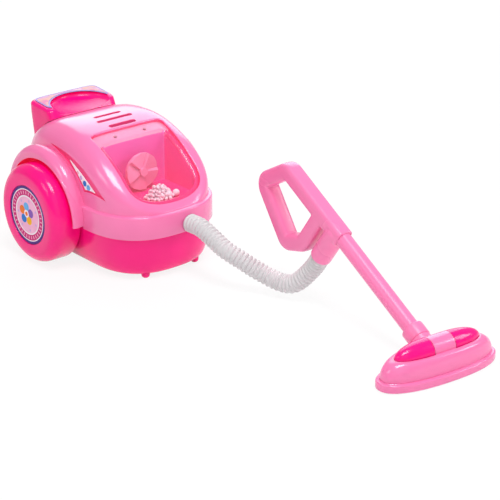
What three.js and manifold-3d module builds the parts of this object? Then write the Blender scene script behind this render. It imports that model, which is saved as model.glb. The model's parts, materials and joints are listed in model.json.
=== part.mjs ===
// Toy canister vacuum cleaner: a rolling canister, a ribbed hose, and a wand with a floor nozzle.
// Millimetres, +Z up, the nozzle lies towards -Y and the wheels turn about X.
import * as THREE from 'three';
import { mergeVertices } from 'three/addons/utils/BufferGeometryUtils.js';
import Module from 'manifold-3d';

const wasm = await Module();
wasm.setup();

// Fits
const seatGap = 0.3; // between pieces that rest on each other
const runGap = 0.4; // around pieces that turn or slide
const pinGap = 0.2; // around pins, screws and shafts in their holes
const skinStep = 0.01; // the least ring that closes a rounded end
const overcut = 5; // how far a cutting solid runs past what it cuts

// Case, seen from above: half width, front and rear of the band round the case
const bandHalfWidth = 46.2;
const bandFrontY = -10.6;
const bandRearY = 128;
const bandMiddleY = 38;
const bandFrontPower = 2.6;
const bandRearPower = 4.2;
const bandTopZ = 46.9;
const bandEdge = 1.4;
const splitZ = 30.9;
const caseWall = 2;

// Domed upper shell
const domeLedge = 2.5;
const domeTopZ = 93.4;
const domeTopY = 68;
const domeFrontPower = 1.95;
const domeRearPower = 2.6;
const domeCrossPower = 5.3;
const domeStations = 16;
const domeEndTrim = 0.35; // keeps the first and last arch off the very tips

// Lower hull
const hullBottomZ = 3.4;
const hullInset = 2;
const hullRound = 6.5;
const hullSteps = 5;

// Wheels and their housings
const wheelRadius = 34.4;
const wheelWidth = 20.8;
const wheelInnerX = 45.2;
const wheelWall = 2.6;
const wheelShoulder = 8;
const wheelShoulderSteps = 4;
const axleY = 76;
const axleRadius = 2;
const hubRadius = 7;
const hubDiscRadius = 20.6;
const hubDiscRecess = 1.3;
const hubDiscThickness = 0.5;
const nutRadius = 4.4;
const nutThickness = 1.2;
const wellClearance = 3;
const fenderReach = 54.4;
const fenderFootZ = 33.2;
const archRadius = 39.3; // thin arch all the way round the wheel
const archRise = 4;
const archDrop = 1.1;
const archFlare = 1; // how much narrower it is where it leaves the flank
const browRadius = 40; // thicker brow over its top and back, on a ring of its own
const browRise = 6.7;
const browDrop = 5.5;
const browFlare = 3;
const browBackY = 2.4; // how far that ring's middle is behind and above the axle
const browUpZ = 5.1;
const axlePostThickness = 5;
const axlePostHalfDepth = 6;

// Window and dust chamber
const windowHalfWidth = 29.8;
const windowTopY = 50.2;
const windowBottomY = -3.6;
const windowCornerY = 12;
const windowPower = 2.5;
const windowRecess = 2;
const windowThickness = 1.3;
const chamberRim = 4;
const chamberBackY = 40.8;
const chamberFloorZ = 48.5;
const chamberWall = 1.6;
const flangeThickness = 1.5;
const flangeReach = 2;
const rivetRadius = 1.2;
const rivetX = 12.4;
const rivetY = 45.2;

// Vents in the top of the shell: a long slot between two short ones
const ventFrontY = 53.7;
const ventMiddleY = 62.6;
const ventRearY = 71.1;
const ventShortHalf = 11.2;
const ventLongHalf = 14.7;
const ventHalfDepth = 1.7;

// Badge recess on each flank and the badge in it, as (y, z): every second point only bends the side it is on
const recessLeaf = [[80, 80], [49.2, 73.6], [39.2, 56.6], [28, 59.2], [17.6, 55.4], [40, 80]];
const badgeLeaf = [[56, 74.4], [46.2, 67.4], [37.9, 58.3], [32, 59.6], [27.7, 58.7], [41, 68.3]];
const badgeRecess = 1.2;
const badgeThickness = 0.6;

// Rear handle
const handleTopZ = 96.9;
const handleFootZ = 70;
const handleFrontY = 96;
const handleRearY = 126;
const handleHalfWidth = 28.6;
const handleFootIn = 1.2; // drawn in at the foot, on every side
const handleLeanRise = 8.9; // the leaning part of the front; below it, the front stands upright
const handleLean = 3.6; // how far the front leans back from there to the top
const handleFall = 2.6; // how much lower the top is in front
const handleEdge = 2.6;
const handleEdgeSteps = 3;
const handlePower = 7;
const scoopHalfWidth = 23.5;
const scoopDepth = 21;
const scoopRise = 5.2;
const scoopIn = 4; // its middle behind the front
const labelThickness = 0.4;
const labelMargin = 0.5;

// Front feet
const footX = 21;
const footY = 3;
const footRadius = 3;
const footRound = 2.2;
const footRoundSteps = 3;
const stemShare = 0.5; // of the foot's radius

// Motor and fan
const fanZ = 62.8;
const fanRadius = 13;
const fanDepth = 4.5;
const fanStandoff = 5.8; // from the chamber's back wall
const fanBlades = 8;
const fanBladeThickness = 1;
const fanHubRadius = 3;
const fanBladeRoot = 0.5; // how deep a blade is set into the hub
const fanNose = 1; // closed end of the hub in front of the shaft
const motorRadius = 10;
const motorLength = 25;
const motorNoseRadius = 3;
const shaftRadius = 1;
const shaftInMotor = 10;
const cradleWall = 2;
const cradleLength = 16;

// Batteries and their box
const cellRadius = 7.25;
const cellLength = 50.5;
const cellNubRadius = 2.75;
const cellNub = 1.2;
const boxWall = 1.6;
const boxY = 58;
const contactThickness = 0.5;
const contactHalfWidth = 5.5;
const springRadius = 3.5;
const springLength = 3;

// Power switch under the case
const switchY = 99;
const switchTravel = 4;
const knobLength = 4;
const knobWidth = 3.6;
const knobProud = 1.4;
const knobFlange = 1.2;
const knobFlangeMargin = 2.5;
const switchBodyHeight = 6;

// Screws
const screwRadius = 1.5;
const screwHeadRadius = 2.8;
const screwHeadHeight = 1.8;
const screwBite = 9;
const bossWall = 2;
const bossFloor = 6;
const frontScrewX = 23;
const frontScrewY = 13;
const rearScrewX = 29;
const rearScrewY = 117;

// Foam beads loose in the dust chamber, in rows that each start half a pitch further left
const beadRadius = 2.5;
const beadPitch = 6.2;
const beadRowPitch = 5.8;
const beadRows = 2;
const beadsPerRow = 3;
const beadStartX = -1;
const beadStartY = 9.8;

// Hose: outside radius at the ribs, depth and count of the ribs
const hoseRadius = 6.4;
const hoseRibDepth = 0.9;
const hosePlugRadius = 4.9;
const hoseBoreRadius = 3.9;
const hoseRibs = 28;
const hosePortX = 6.4;
const hosePortZ = 36.9;
const hosePlug = 5; // length that sits in the case and in the wand
const hoseSides = 8;
const hoseBoreStep = 2; // ribs to each ring of the bore
const hoseSag = [
  new THREE.Vector3(6.8, -35, 33),
  new THREE.Vector3(8.2, -46, 28),
  new THREE.Vector3(14.2, -55.6, 21.8),
  new THREE.Vector3(20.6, -64.7, 15.6),
  new THREE.Vector3(25.7, -73.2, 11.4),
  new THREE.Vector3(29.4, -81.2, 9.6),
  new THREE.Vector3(32, -89.3, 11.8),
];

// Floor tool: where the nozzle's middle lies and how it is turned, then its wand's lean and foot
const toolX = 26;
const toolY = -224.2;
const toolTurn = THREE.MathUtils.degToRad(-4.75);
const wandLean = THREE.MathUtils.degToRad(27.6);
const wandReach = 26.2; // from the middle of the nozzle back to the mouth of its collar
const wandZ = 21.2;
const tubeRadius = 5.3;
const tubeWall = 1.2;
const tubeLength = 74.1; // seen between collar and grip
const tubePlug = 8; // hidden in the collar and in the grip, at each end
const collarRadius = 7.3;
const collarLength = 9;
const collarEdge = 0.8;
const collarBack = 2.8; // the collar's mouth, below the foot of the wand
const neckRadius = 6.9;
const neckLength = 11;

// Grip loop in the wand's own plane: distance along the wand and height over its axis
const gripRadius = 6.2;
const gripTip = new THREE.Vector2(137.8, 0);
const gripTop = new THREE.Vector2(153.4, -24.9);
const gripHeel = new THREE.Vector2(115.1, -44);
const gripToe = new THREE.Vector2(101.6, -31.4);
const gripToeFoot = new THREE.Vector2(97, 0);
const gripBend = 5;
const gripBendSteps = 2;
const socketRadius = 7.2;
const socketAlong = 81.4;
const socketLength = 28;
const socketLean = THREE.MathUtils.degToRad(8.5);

// Floor nozzle
const nozzleHalfLength = 44.7;
const nozzleHalfDepth = 16.2;
const nozzlePower = 2.3;
const nozzleRimHeight = 5.5;
const nozzleRimStep = 2.6;
const nozzleEdge = 1;
const nozzleDomeZ = 17;
const nozzleDomeTaper = 2.8;
const nozzleEndTaper = 11;
const nozzleWall = 1.8;
const soleThickness = 1.6;
const soleProud = 0.4;
const ridgeRadius = 8;
const ridgeHalfLength = 32.5;
const ridgeMiddleHalf = 8;
const ridgePower = 3;
const ridgeSink = 4.5; // how far the caps reach below the top of the dome

// Facets
const planSides = 32;
const archSides = 16;
const roundSides = 24;
const smallSides = 14;
const tinySides = 8;
const beadSides = 8;
const curveSegments = 8;

const lightPink = 0xf78cc0;
const hotPink = 0xff2f8c;

// Shapes and solids

function solidOf(geometry) {
  for (const name of Object.keys(geometry.attributes)) {
    if (name !== 'position') {
      geometry.deleteAttribute(name);
    }
  }
  const merged = mergeVertices(geometry, 1e-4);
  const vertProperties = new Float32Array(merged.attributes.position.array);
  const triVerts = new Uint32Array(merged.index.array);
  return new wasm.Manifold(new wasm.Mesh({ numProp: 3, vertProperties, triVerts }));
}

function geometryOf(solid) {
  const mesh = solid.getMesh();
  const geometry = new THREE.BufferGeometry();
  geometry.setAttribute('position', new THREE.BufferAttribute(mesh.vertProperties, 3));
  geometry.setIndex(new THREE.BufferAttribute(mesh.triVerts, 1));
  geometry.computeVertexNormals();
  return geometry;
}

function join(first, ...others) {
  return others.reduce((sum, solid) => sum.add(solid), first);
}

function cut(first, ...others) {
  return others.reduce((rest, solid) => rest.subtract(solid), first);
}

function box(x0, x1, y0, y1, z0, z1) {
  const geometry = new THREE.BoxGeometry(x1 - x0, y1 - y0, z1 - z0);
  return solidOf(geometry.translate((x0 + x1) / 2, (y0 + y1) / 2, (z0 + z1) / 2));
}

// A cylinder from one height to another, standing on a point of the plan
function post(x, y, z0, z1, radius, sides = smallSides) {
  const geometry = new THREE.CylinderGeometry(radius, radius, z1 - z0, sides);
  return solidOf(geometry.rotateX(Math.PI / 2).translate(x, y, (z0 + z1) / 2));
}

// A cylinder along X, in line with the wheels
function axleRod(x0, x1, radius, sides = roundSides) {
  const geometry = new THREE.CylinderGeometry(radius, radius, x1 - x0, sides);
  return solidOf(geometry.rotateZ(Math.PI / 2).translate((x0 + x1) / 2, axleY, wheelRadius));
}

// A cylinder along Y, in line with the motor
function fanRod(y0, y1, radius, sides = smallSides) {
  const geometry = new THREE.CylinderGeometry(radius, radius, y1 - y0, sides);
  return solidOf(geometry.translate(0, (y0 + y1) / 2, fanZ));
}

// A turned piece: its profile as [radius, height] pairs, about the Y axis
function turned(profile, sides = roundSides) {
  const points = profile.map(([radius, height]) => new THREE.Vector2(radius, height));
  return new THREE.LatheGeometry([...points, points[0].clone()], sides);
}

// Skins a row of rings, all with as many points, and closes both ends
function loft(rings) {
  const count = rings[0].length;
  const positions = rings.flat().flatMap((point) => [point.x, point.y, point.z]);
  const index = [];
  for (let ring = 0; ring + 1 < rings.length; ring += 1) {
    for (let i = 0; i < count; i += 1) {
      const a = ring * count + i;
      const b = ring * count + ((i + 1) % count);
      index.push(a, b, b + count, a, b + count, a + count);
    }
  }
  for (const [ring, turn] of [[0, 1], [rings.length - 1, -1]]) {
    const middle = new THREE.Vector3();
    rings[ring].forEach((point) => middle.addScaledVector(point, 1 / count));
    positions.push(middle.x, middle.y, middle.z);
    const centre = positions.length / 3 - 1;
    for (let i = 0; i < count; i += 1) {
      const a = ring * count + i;
      const b = ring * count + ((i + 1) % count);
      index.push(...(turn > 0 ? [centre, b, a] : [centre, a, b]));
    }
  }
  const geometry = new THREE.BufferGeometry();
  geometry.setAttribute('position', new THREE.Float32BufferAttribute(positions, 3));
  geometry.setIndex(index);
  return solidOf(geometry);
}

// Sign-keeping power, for superellipses
function bent(value, power) {
  return Math.sign(value) * Math.abs(value) ** (2 / power);
}

// The plan of the case, drawn in by an inset, at one height
function planRing(z, inset) {
  const ring = [];
  for (let i = 0; i < planSides; i += 1) {
    const angle = (i / planSides) * 2 * Math.PI;
    const front = Math.sin(angle) < 0;
    const power = front ? bandFrontPower : bandRearPower;
    const reach = front ? bandMiddleY - bandFrontY : bandRearY - bandMiddleY;
    const x = (bandHalfWidth - inset) * bent(Math.cos(angle), power);
    const y = bandMiddleY + (reach - inset) * bent(Math.sin(angle), power);
    ring.push(new THREE.Vector3(x, y, z));
  }
  return ring;
}

function domeHalfWidth(y, inset) {
  const front = y < bandMiddleY;
  const reach = front ? bandMiddleY - bandFrontY : bandRearY - bandMiddleY;
  const power = front ? bandFrontPower : bandRearPower;
  const share = Math.min(1, Math.abs(y - bandMiddleY) / (reach - domeLedge - inset));
  return (bandHalfWidth - domeLedge - inset) * (1 - share ** power) ** (1 / power);
}

function domeHeight(y, inset) {
  const full = domeTopZ - inset - bandTopZ;
  const front = domeTopY - bandFrontY - domeLedge - inset;
  const rear = bandRearY - domeLedge - inset - domeTopY;
  if (y < domeTopY) {
    return full * (1 - ((domeTopY - y) / front) ** domeFrontPower);
  }
  return full * Math.sqrt(1 - ((y - domeTopY) / rear) ** domeRearPower);
}

// The domed upper body down to a floor below the band top, drawn in by an inset
function dome(inset) {
  const front = bandFrontY + domeLedge + inset;
  const rear = bandRearY - domeLedge - inset;
  const floorZ = bandTopZ - bandEdge - skinStep;
  const rings = [];
  for (let i = 0; i <= domeStations; i += 1) {
    const turn = (Math.PI * (i + domeEndTrim)) / (domeStations + 2 * domeEndTrim);
    const share = (1 - Math.cos(turn)) / 2;
    const y = front + share * (rear - front);
    const halfWidth = domeHalfWidth(y, inset);
    const height = domeHeight(y, inset);
    const ring = [new THREE.Vector3(-halfWidth, y, floorZ), new THREE.Vector3(halfWidth, y, floorZ)];
    for (let j = 0; j <= archSides; j += 1) {
      const angle = (j / archSides) * Math.PI;
      const x = halfWidth * bent(Math.cos(angle), domeCrossPower);
      const z = bandTopZ + height * bent(Math.sin(angle), domeCrossPower);
      ring.push(new THREE.Vector3(x, y, z));
    }
    rings.push(ring);
  }
  return loft(rings.reverse());
}

// An outline in plan: straight along the back, rounded in front of its corners
function frontRounded(half, backY, reach) {
  const shape = new THREE.Shape();
  shape.moveTo(half, backY);
  shape.lineTo(-half, backY);
  for (let i = 0; i <= archSides; i += 1) {
    const angle = Math.PI * (1 + i / archSides);
    const y = windowCornerY + reach * bent(Math.sin(angle), windowPower);
    shape.lineTo(half * bent(Math.cos(angle), windowPower), y);
  }
  return shape;
}

function windowShape(margin) {
  const reach = windowCornerY - windowBottomY + margin;
  return frontRounded(windowHalfWidth + margin, windowTopY + margin, reach);
}

function chamberShape(margin) {
  const reach = windowCornerY - windowBottomY - chamberRim + margin;
  return frontRounded(windowHalfWidth - chamberRim + margin, chamberBackY + margin, reach);
}

// A shape drawn in plan, standing from one height to another
function standing(shape, z0, z1) {
  const depth = z1 - z0;
  const geometry = new THREE.ExtrudeGeometry(shape, { depth, bevelEnabled: false, curveSegments });
  return solidOf(geometry.translate(0, 0, z0));
}

// A shape drawn in side view as (y, z), reaching from one x to another
function sideways(shape, x0, x1) {
  const depth = x1 - x0;
  const geometry = new THREE.ExtrudeGeometry(shape, { depth, bevelEnabled: false, curveSegments });
  const axes = new THREE.Matrix4().makeBasis(
    new THREE.Vector3(0, 1, 0),
    new THREE.Vector3(0, 0, 1),
    new THREE.Vector3(1, 0, 0),
  );
  return solidOf(geometry.applyMatrix4(axes).translate(x0, 0, 0));
}

// Keeps the part of a solid on one side of the case: -1 left, 1 right
function flank(side, x0, x1, make) {
  return side < 0 ? make(-x1, -x0) : make(x0, x1);
}

// Scene graph

const vacuum = new THREE.Group();
const floorTool = new THREE.Group();
floorTool.position.set(toolX, toolY, 0);
floorTool.rotation.z = toolTurn;
vacuum.add(floorTool);
const wand = new THREE.Group();
wand.position.set(0, wandReach, wandZ);
wand.rotation.x = wandLean;
floorTool.add(wand);

const finishes = {
  lightPink: { color: lightPink, roughness: 0.32, metalness: 0 },
  hotPink: { color: hotPink, roughness: 0.3, metalness: 0 },
  clearPink: { color: 0xffc4dd, roughness: 0.08, metalness: 0, transparent: true, opacity: 0.35 },
  label: { color: 0xf6dcee, roughness: 0.4, metalness: 0 },
  foam: { color: 0xfdf3f5, roughness: 0.8, metalness: 0 },
  hose: { color: 0xe9e7e8, roughness: 0.45, metalness: 0 },
  steel: { color: 0xb9bcc0, roughness: 0.3, metalness: 1 },
  motorCan: { color: 0xaeb2b6, roughness: 0.35, metalness: 1 },
  cell: { color: 0x3b4a5a, roughness: 0.4, metalness: 0.2 },
  dark: { color: 0x2b2b2f, roughness: 0.5, metalness: 0 },
};

function place(name, geometry, finish, parent = vacuum) {
  const mesh = new THREE.Mesh(geometry, new THREE.MeshStandardMaterial(finishes[finish]));
  mesh.name = name;
  parent.add(mesh);
  return mesh;
}

function placeSolid(name, solid, finish, parent = vacuum) {
  return place(name, geometryOf(solid), finish, parent);
}

// Spaces that the case leaves for the wheels

const wellRadius = wheelRadius + wellClearance;
const wellInnerX = wheelInnerX - runGap - seatGap;
const wellWallX = wellInnerX - caseWall;
const farX = fenderReach + wheelWidth + overcut;

function wells(inset) {
  return [-1, 1].map((side) => flank(side, wellInnerX - inset, farX, (x0, x1) =>
    axleRod(x0, x1, wellRadius + inset)));
}

// A thick disc that widens outwards to a rounded edge, its axis along X
function fenderDisc(side, radius, rise, drop, flare) {
  const profile = [
    [0, wellWallX],
    [radius - flare, wellWallX],
    [radius, fenderReach - rise],
    [radius - drop / 3, fenderReach - rise / 3],
    [radius - drop, fenderReach],
    [0, fenderReach],
  ];
  const geometry = turned(profile).rotateZ(-Math.PI / 2);
  if (side < 0) {
    geometry.rotateZ(Math.PI);
  }
  return solidOf(geometry.translate(0, axleY, wheelRadius));
}

function fender(side) {
  const arch = fenderDisc(side, archRadius, archRise, archDrop, archFlare);
  const brow = fenderDisc(side, browRadius, browRise, browDrop, browFlare);
  const below = box(-farX, farX, axleY - farX, axleY + farX, fenderFootZ - farX, fenderFootZ);
  return arch.add(brow.translate([0, browBackY, browUpZ])).subtract(below);
}

// Where the screws sit
const shellPilotRadius = screwRadius + pinGap;
const bossRadius = screwHeadRadius + seatGap + bossWall;
const screwSeatZ = splitZ - seatGap - bossFloor;

function eachCaseScrew(make) {
  return [-1, 1].flatMap((side) => [
    make(side * frontScrewX, frontScrewY, bandFrontY),
    make(side * rearScrewX, rearScrewY, bandRearY),
  ]);
}

const outerDome = dome(0);
const innerDome = dome(caseWall);
const farZ = domeTopZ + overcut;

// Upper shell: dome, band and fenders in one moulding, open below

// A closed outline of curved sides
function leafShape(points) {
  const shape = new THREE.Shape();
  shape.moveTo(...points[0]);
  for (let i = 1; i < points.length; i += 2) {
    shape.quadraticCurveTo(...points[i], ...points[(i + 1) % points.length]);
  }
  return shape;
}

function flankCut(side, points) {
  const shape = leafShape(points);
  return flank(side, bandHalfWidth / 2, farX, (x0, x1) => sideways(shape, x0, x1));
}

function ventSlot(y, half) {
  const shape = new THREE.Shape();
  shape.absarc(half - ventHalfDepth, y, ventHalfDepth, -Math.PI / 2, Math.PI / 2, false);
  shape.absarc(-half + ventHalfDepth, y, ventHalfDepth, Math.PI / 2, (3 * Math.PI) / 2, false);
  return standing(shape, chamberFloorZ, farZ);
}

const portRadius = hosePlugRadius + seatGap;
const portSleeve = hosePlug + caseWall;

function portRod(y0, y1, radius) {
  const geometry = new THREE.CylinderGeometry(radius, radius, y1 - y0, smallSides);
  return solidOf(geometry.translate(hosePortX, (y0 + y1) / 2, hosePortZ));
}

function upperShell() {
  const band = loft([
    planRing(splitZ, 0),
    planRing(bandTopZ - bandEdge, 0),
    planRing(bandTopZ, bandEdge),
  ]);
  const bandInside = loft([
    planRing(splitZ - overcut, caseWall),
    planRing(bandTopZ - bandEdge, caseWall),
  ]);
  const below = box(-farX, farX, bandFrontY - farX, bandRearY + farX, splitZ - farX, splitZ);
  const badges = [-1, 1].map((side) => flankCut(side, recessLeaf).subtract(dome(badgeRecess)));
  const skin = cut(join(outerDome, band), ...badges);
  const outside = cut(join(skin, fender(-1), fender(1)), below, ...wells(0));
  const inside = cut(join(innerDome, bandInside), ...wells(caseWall));
  const bossTopZ = splitZ + screwBite + caseWall;
  const bosses = eachCaseScrew((x, y, wallY) => {
    const [y0, y1] = wallY < y ? [wallY, y] : [y, wallY];
    const rib = box(x - bossWall / 2, x + bossWall / 2, y0, y1, splitZ, bossTopZ);
    return post(x, y, splitZ, bossTopZ, shellPilotRadius + bossWall).add(rib).intersect(band);
  });
  const sleeve = portRod(bandFrontY + caseWall / 2, bandFrontY + portSleeve, portRadius + caseWall)
    .subtract(below);
  const pilots = eachCaseScrew((x, y) =>
    post(x, y, splitZ - overcut, splitZ + screwBite, shellPilotRadius));
  const axleHole = axleRod(-wellInnerX - overcut, wellInnerX + overcut, axleRadius + runGap, smallSides);
  return cut(
    join(outside.subtract(inside), ...bosses, sleeve),
    ...pilots,
    axleHole,
    portRod(bandFrontY - overcut, bandFrontY + portSleeve + overcut, portRadius),
    standing(windowShape(0), chamberFloorZ, farZ),
    ventSlot(ventFrontY, ventShortHalf),
    ventSlot(ventMiddleY, ventLongHalf),
    ventSlot(ventRearY, ventShortHalf),
  );
}
placeSolid('upper_shell', upperShell(), 'lightPink');

for (const [side, name] of [[-1, 'side_badge_left'], [1, 'side_badge_right']]) {
  const skin = dome(badgeRecess - seatGap - badgeThickness).subtract(dome(badgeRecess - seatGap));
  placeSolid(name, skin.intersect(flankCut(side, badgeLeaf)), 'label');
}

// Lower hull: a bowl with the battery box, screw posts and axle posts standing in it

function hullBowl(inset, topZ) {
  const rings = [];
  const floorZ = hullBottomZ + inset;
  for (let i = 0; i <= hullSteps; i += 1) {
    const angle = (Math.PI / 2) * (1 - i / hullSteps);
    const z = splitZ - (splitZ - floorZ) * Math.sin(angle);
    rings.push(planRing(Math.min(z, topZ), hullInset + inset + hullRound * (1 - Math.cos(angle))));
  }
  rings.push(planRing(topZ + skinStep, hullInset + inset));
  return loft(rings);
}

const hullTopZ = splitZ - seatGap;
const hullFloorZ = hullBottomZ + caseWall;
const boxInHalfX = cellLength / 2 + contactThickness + (springLength + 5 * seatGap) / 2;
const boxInHalfY = 2 * cellRadius + 1.5 * seatGap;
const boxRoofZ = hullFloorZ + 2 * cellRadius + 2 * seatGap;

function lowerHull() {
  const outer = cut(hullBowl(0, hullTopZ), ...wells(0));
  const cavity = cut(hullBowl(caseWall, hullTopZ + overcut), ...wells(caseWall));
  const batteryBox = box(
    -boxInHalfX - boxWall, boxInHalfX + boxWall,
    boxY - boxInHalfY - boxWall, boxY + boxInHalfY + boxWall,
    hullBottomZ + caseWall / 2, boxRoofZ + boxWall,
  );
  const cellSpace = box(
    -boxInHalfX, boxInHalfX, boxY - boxInHalfY, boxY + boxInHalfY, hullBottomZ - overcut, boxRoofZ,
  );
  const screwPosts = eachCaseScrew((x, y) =>
    post(x, y, hullBottomZ, hullTopZ, bossRadius).intersect(hullBowl(0, hullTopZ)));
  const postTopZ = wheelRadius + axleRadius + axlePostHalfDepth;
  const postX = wellWallX - seatGap;
  const postY0 = axleY - axlePostHalfDepth;
  const postY1 = axleY + axlePostHalfDepth;
  const axlePosts = [-1, 1].map((side) => flank(side, postX - axlePostThickness, postX, (x0, x1) => join(
    box(x0, x1, postY0, postY1, hullBottomZ, hullTopZ).intersect(hullBowl(0, hullTopZ)),
    box(x0, x1, postY0, postY1, hullTopZ - axlePostThickness, postTopZ),
  )));
  const slotHalf = (knobLength + switchTravel) / 2 + runGap;
  const slot = box(
    -slotHalf, slotHalf, switchY - knobWidth / 2 - runGap, switchY + knobWidth / 2 + runGap,
    hullBottomZ - overcut, hullFloorZ + skinStep,
  );
  const screwHoles = eachCaseScrew((x, y) => join(
    post(x, y, hullBottomZ - overcut, screwSeatZ, screwHeadRadius + seatGap),
    post(x, y, screwSeatZ - skinStep, hullTopZ + overcut, screwRadius + pinGap),
  ));
  const footHoles = [-footX, footX].map((x) =>
    post(x, footY, hullBottomZ - overcut, splitZ, footRadius * stemShare + pinGap));
  return cut(
    join(outer.subtract(cavity), batteryBox, ...axlePosts, ...screwPosts),
    cellSpace,
    slot,
    axleRod(-postX - overcut, postX + overcut, axleRadius + pinGap, smallSides),
    ...screwHoles,
    ...footHoles,
  );
}
placeSolid('lower_hull', lowerHull(), 'hotPink');

const doorTopZ = hullFloorZ;
const cellZ = doorTopZ + seatGap + cellRadius;
const cellOffsetY = cellRadius + seatGap / 2;

placeSolid('battery_door', box(
  -boxInHalfX + seatGap, boxInHalfX - seatGap,
  boxY - boxInHalfY + seatGap, boxY + boxInHalfY - seatGap,
  hullBottomZ, doorTopZ,
), 'hotPink');

// Front feet: pegs that follow the curve of the hull, each with a stem through it

function hullSurfaceZ(x, y) {
  const halvings = 40;
  let low = 0;
  let high = hullRound;
  for (let i = 0; i < halvings; i += 1) {
    const inset = (low + high) / 2 + hullInset;
    const across = Math.abs(x / (bandHalfWidth - inset)) ** bandFrontPower;
    const along = Math.abs((y - bandMiddleY) / (bandMiddleY - bandFrontY - inset)) ** bandFrontPower;
    if (across + along < 1) {
      low = inset - hullInset;
    } else {
      high = inset - hullInset;
    }
  }
  return splitZ - (splitZ - hullBottomZ) * Math.sqrt(1 - (1 - low / hullRound) ** 2);
}

function frontFoot(x) {
  const sole = Array.from({ length: footRoundSteps + 1 }, (_, i) => {
    const angle = (i / footRoundSteps) * (Math.PI / 2);
    return [footRadius - footRound * (1 - Math.sin(angle)), footRound * (1 - Math.cos(angle))];
  });
  const profile = [[0, 0], ...sole, [footRadius, splitZ], [0, splitZ]];
  const peg = solidOf(turned(profile, smallSides).rotateX(Math.PI / 2).translate(x, footY, 0));
  const stemTopZ = hullSurfaceZ(x, footY) + 2 * caseWall;
  const stem = post(x, footY, footRound, stemTopZ, footRadius * stemShare);
  return peg.subtract(hullBowl(-seatGap, splitZ + overcut)).add(stem);
}
placeSolid('front_foot_left', frontFoot(-footX), 'hotPink');
placeSolid('front_foot_right', frontFoot(footX), 'hotPink');

// Window and the tub behind it

const flangeInset = Math.max(caseWall, windowRecess + windowThickness) + seatGap;

function domeZ(x, y, inset) {
  const share = Math.abs(x) / domeHalfWidth(y, inset);
  return bandTopZ + domeHeight(y, inset) * (1 - share ** domeCrossPower) ** (1 / domeCrossPower);
}

const rivetHoles = [-rivetX, rivetX].map((x) =>
  post(x, rivetY, splitZ, farZ, rivetRadius + pinGap, tinySides));

function windowLens() {
  const skin = dome(windowRecess).subtract(dome(windowRecess + windowThickness));
  return cut(skin.intersect(standing(windowShape(-seatGap), bandTopZ, farZ)), ...rivetHoles);
}
placeSolid('window_lens', windowLens(), 'clearPink');

function dustChamber() {
  const under = dome(flangeInset);
  const flange = under.subtract(dome(flangeInset + flangeThickness))
    .intersect(standing(windowShape(flangeReach), bandTopZ, farZ));
  const walls = join(
    standing(chamberShape(chamberWall), chamberFloorZ - chamberWall, farZ).intersect(under),
    standing(chamberShape(chamberWall), chamberFloorZ - chamberWall, chamberFloorZ),
  );
  return cut(
    join(flange, walls),
    standing(chamberShape(0), chamberFloorZ, farZ),
    fanRod(chamberBackY - overcut, chamberBackY + overcut, motorNoseRadius + seatGap),
    ...rivetHoles,
  );
}
placeSolid('dust_chamber', dustChamber(), 'hotPink');

for (const [x, name] of [[-rivetX, 'window_rivet_left'], [rivetX, 'window_rivet_right']]) {
  const topZ = domeZ(x, rivetY, windowRecess) + rivetRadius / 2;
  const footZ = domeZ(x, rivetY, flangeInset + flangeThickness) - rivetRadius / 2;
  placeSolid(name, post(x, rivetY, footZ, topZ, rivetRadius, tinySides), 'hotPink');
}

// Foam beads on the chamber floor
for (let i = 0; i < beadRows * beadsPerRow; i += 1) {
  const row = Math.floor(i / beadsPerRow);
  const x = beadStartX + (i % beadsPerRow) * beadPitch - row * (beadPitch / 2);
  const ball = new THREE.SphereGeometry(beadRadius, beadSides, beadSides / 2);
  const bead = place(`foam_bead_${i + 1}`, ball, 'foam');
  bead.position.set(x, beadStartY + row * beadRowPitch, chamberFloorZ + seatGap + beadRadius);
}

// Rear handle: a hollow block saddled on the dome, scooped out in front

function handleRing(z, inset, share) {
  const ring = [];
  const lean = handleLean * share;
  const fall = (handleFall * share) / (handleRearY - handleFrontY);
  const middleY = (handleFrontY + lean + handleRearY) / 2;
  const halfDepth = (handleRearY - handleFrontY - lean) / 2 - inset;
  for (let i = 0; i < planSides; i += 1) {
    const angle = (i / planSides) * 2 * Math.PI;
    const x = (handleHalfWidth - inset) * bent(Math.cos(angle), handlePower);
    const y = middleY + halfDepth * bent(Math.sin(angle), handlePower);
    ring.push(new THREE.Vector3(x, y, z - fall * (handleRearY - y)));
  }
  return ring;
}

function handleBlock(inset) {
  const topZ = handleTopZ - inset;
  const waistZ = handleTopZ - handleLeanRise;
  const rings = [
    handleRing(handleFootZ - inset, inset + handleFootIn, 0),
    handleRing(waistZ, inset, 0),
  ];
  for (let i = 0; i <= handleEdgeSteps; i += 1) {
    const angle = (i / handleEdgeSteps) * (Math.PI / 2);
    const z = topZ - handleEdge * (1 - Math.sin(angle));
    const share = (z - waistZ) / (topZ - waistZ);
    rings.push(handleRing(z, inset + handleEdge * (1 - Math.cos(angle)), share));
  }
  return loft(rings);
}

function scoop(margin) {
  const geometry = new THREE.SphereGeometry(1, roundSides, smallSides).scale(
    scoopHalfWidth + margin, scoopDepth + margin, scoopRise + margin,
  );
  const share = scoopIn / (handleRearY - handleFrontY);
  return solidOf(geometry.translate(0, handleFrontY + scoopIn, handleTopZ - handleFall * (1 - share)));
}

placeSolid('rear_handle', cut(
  handleBlock(0), scoop(0), dome(-seatGap), handleBlock(caseWall).subtract(scoop(caseWall)),
), 'hotPink');

placeSolid('handle_label', cut(
  loft([
    handleRing(handleTopZ + seatGap, handleEdge, 1),
    handleRing(handleTopZ + seatGap + labelThickness, handleEdge, 1),
  ]),
  scoop(labelMargin),
), 'label');

// Wheels: hollow cups that run on a fixed axle, each kept on by a push nut under its disc

const nutPocket = nutThickness + 2 * seatGap;
const faceRecess = wheelWidth - hubDiscRecess;
const webBack = faceRecess - Math.max(wheelWall, nutPocket + seatGap);

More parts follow.
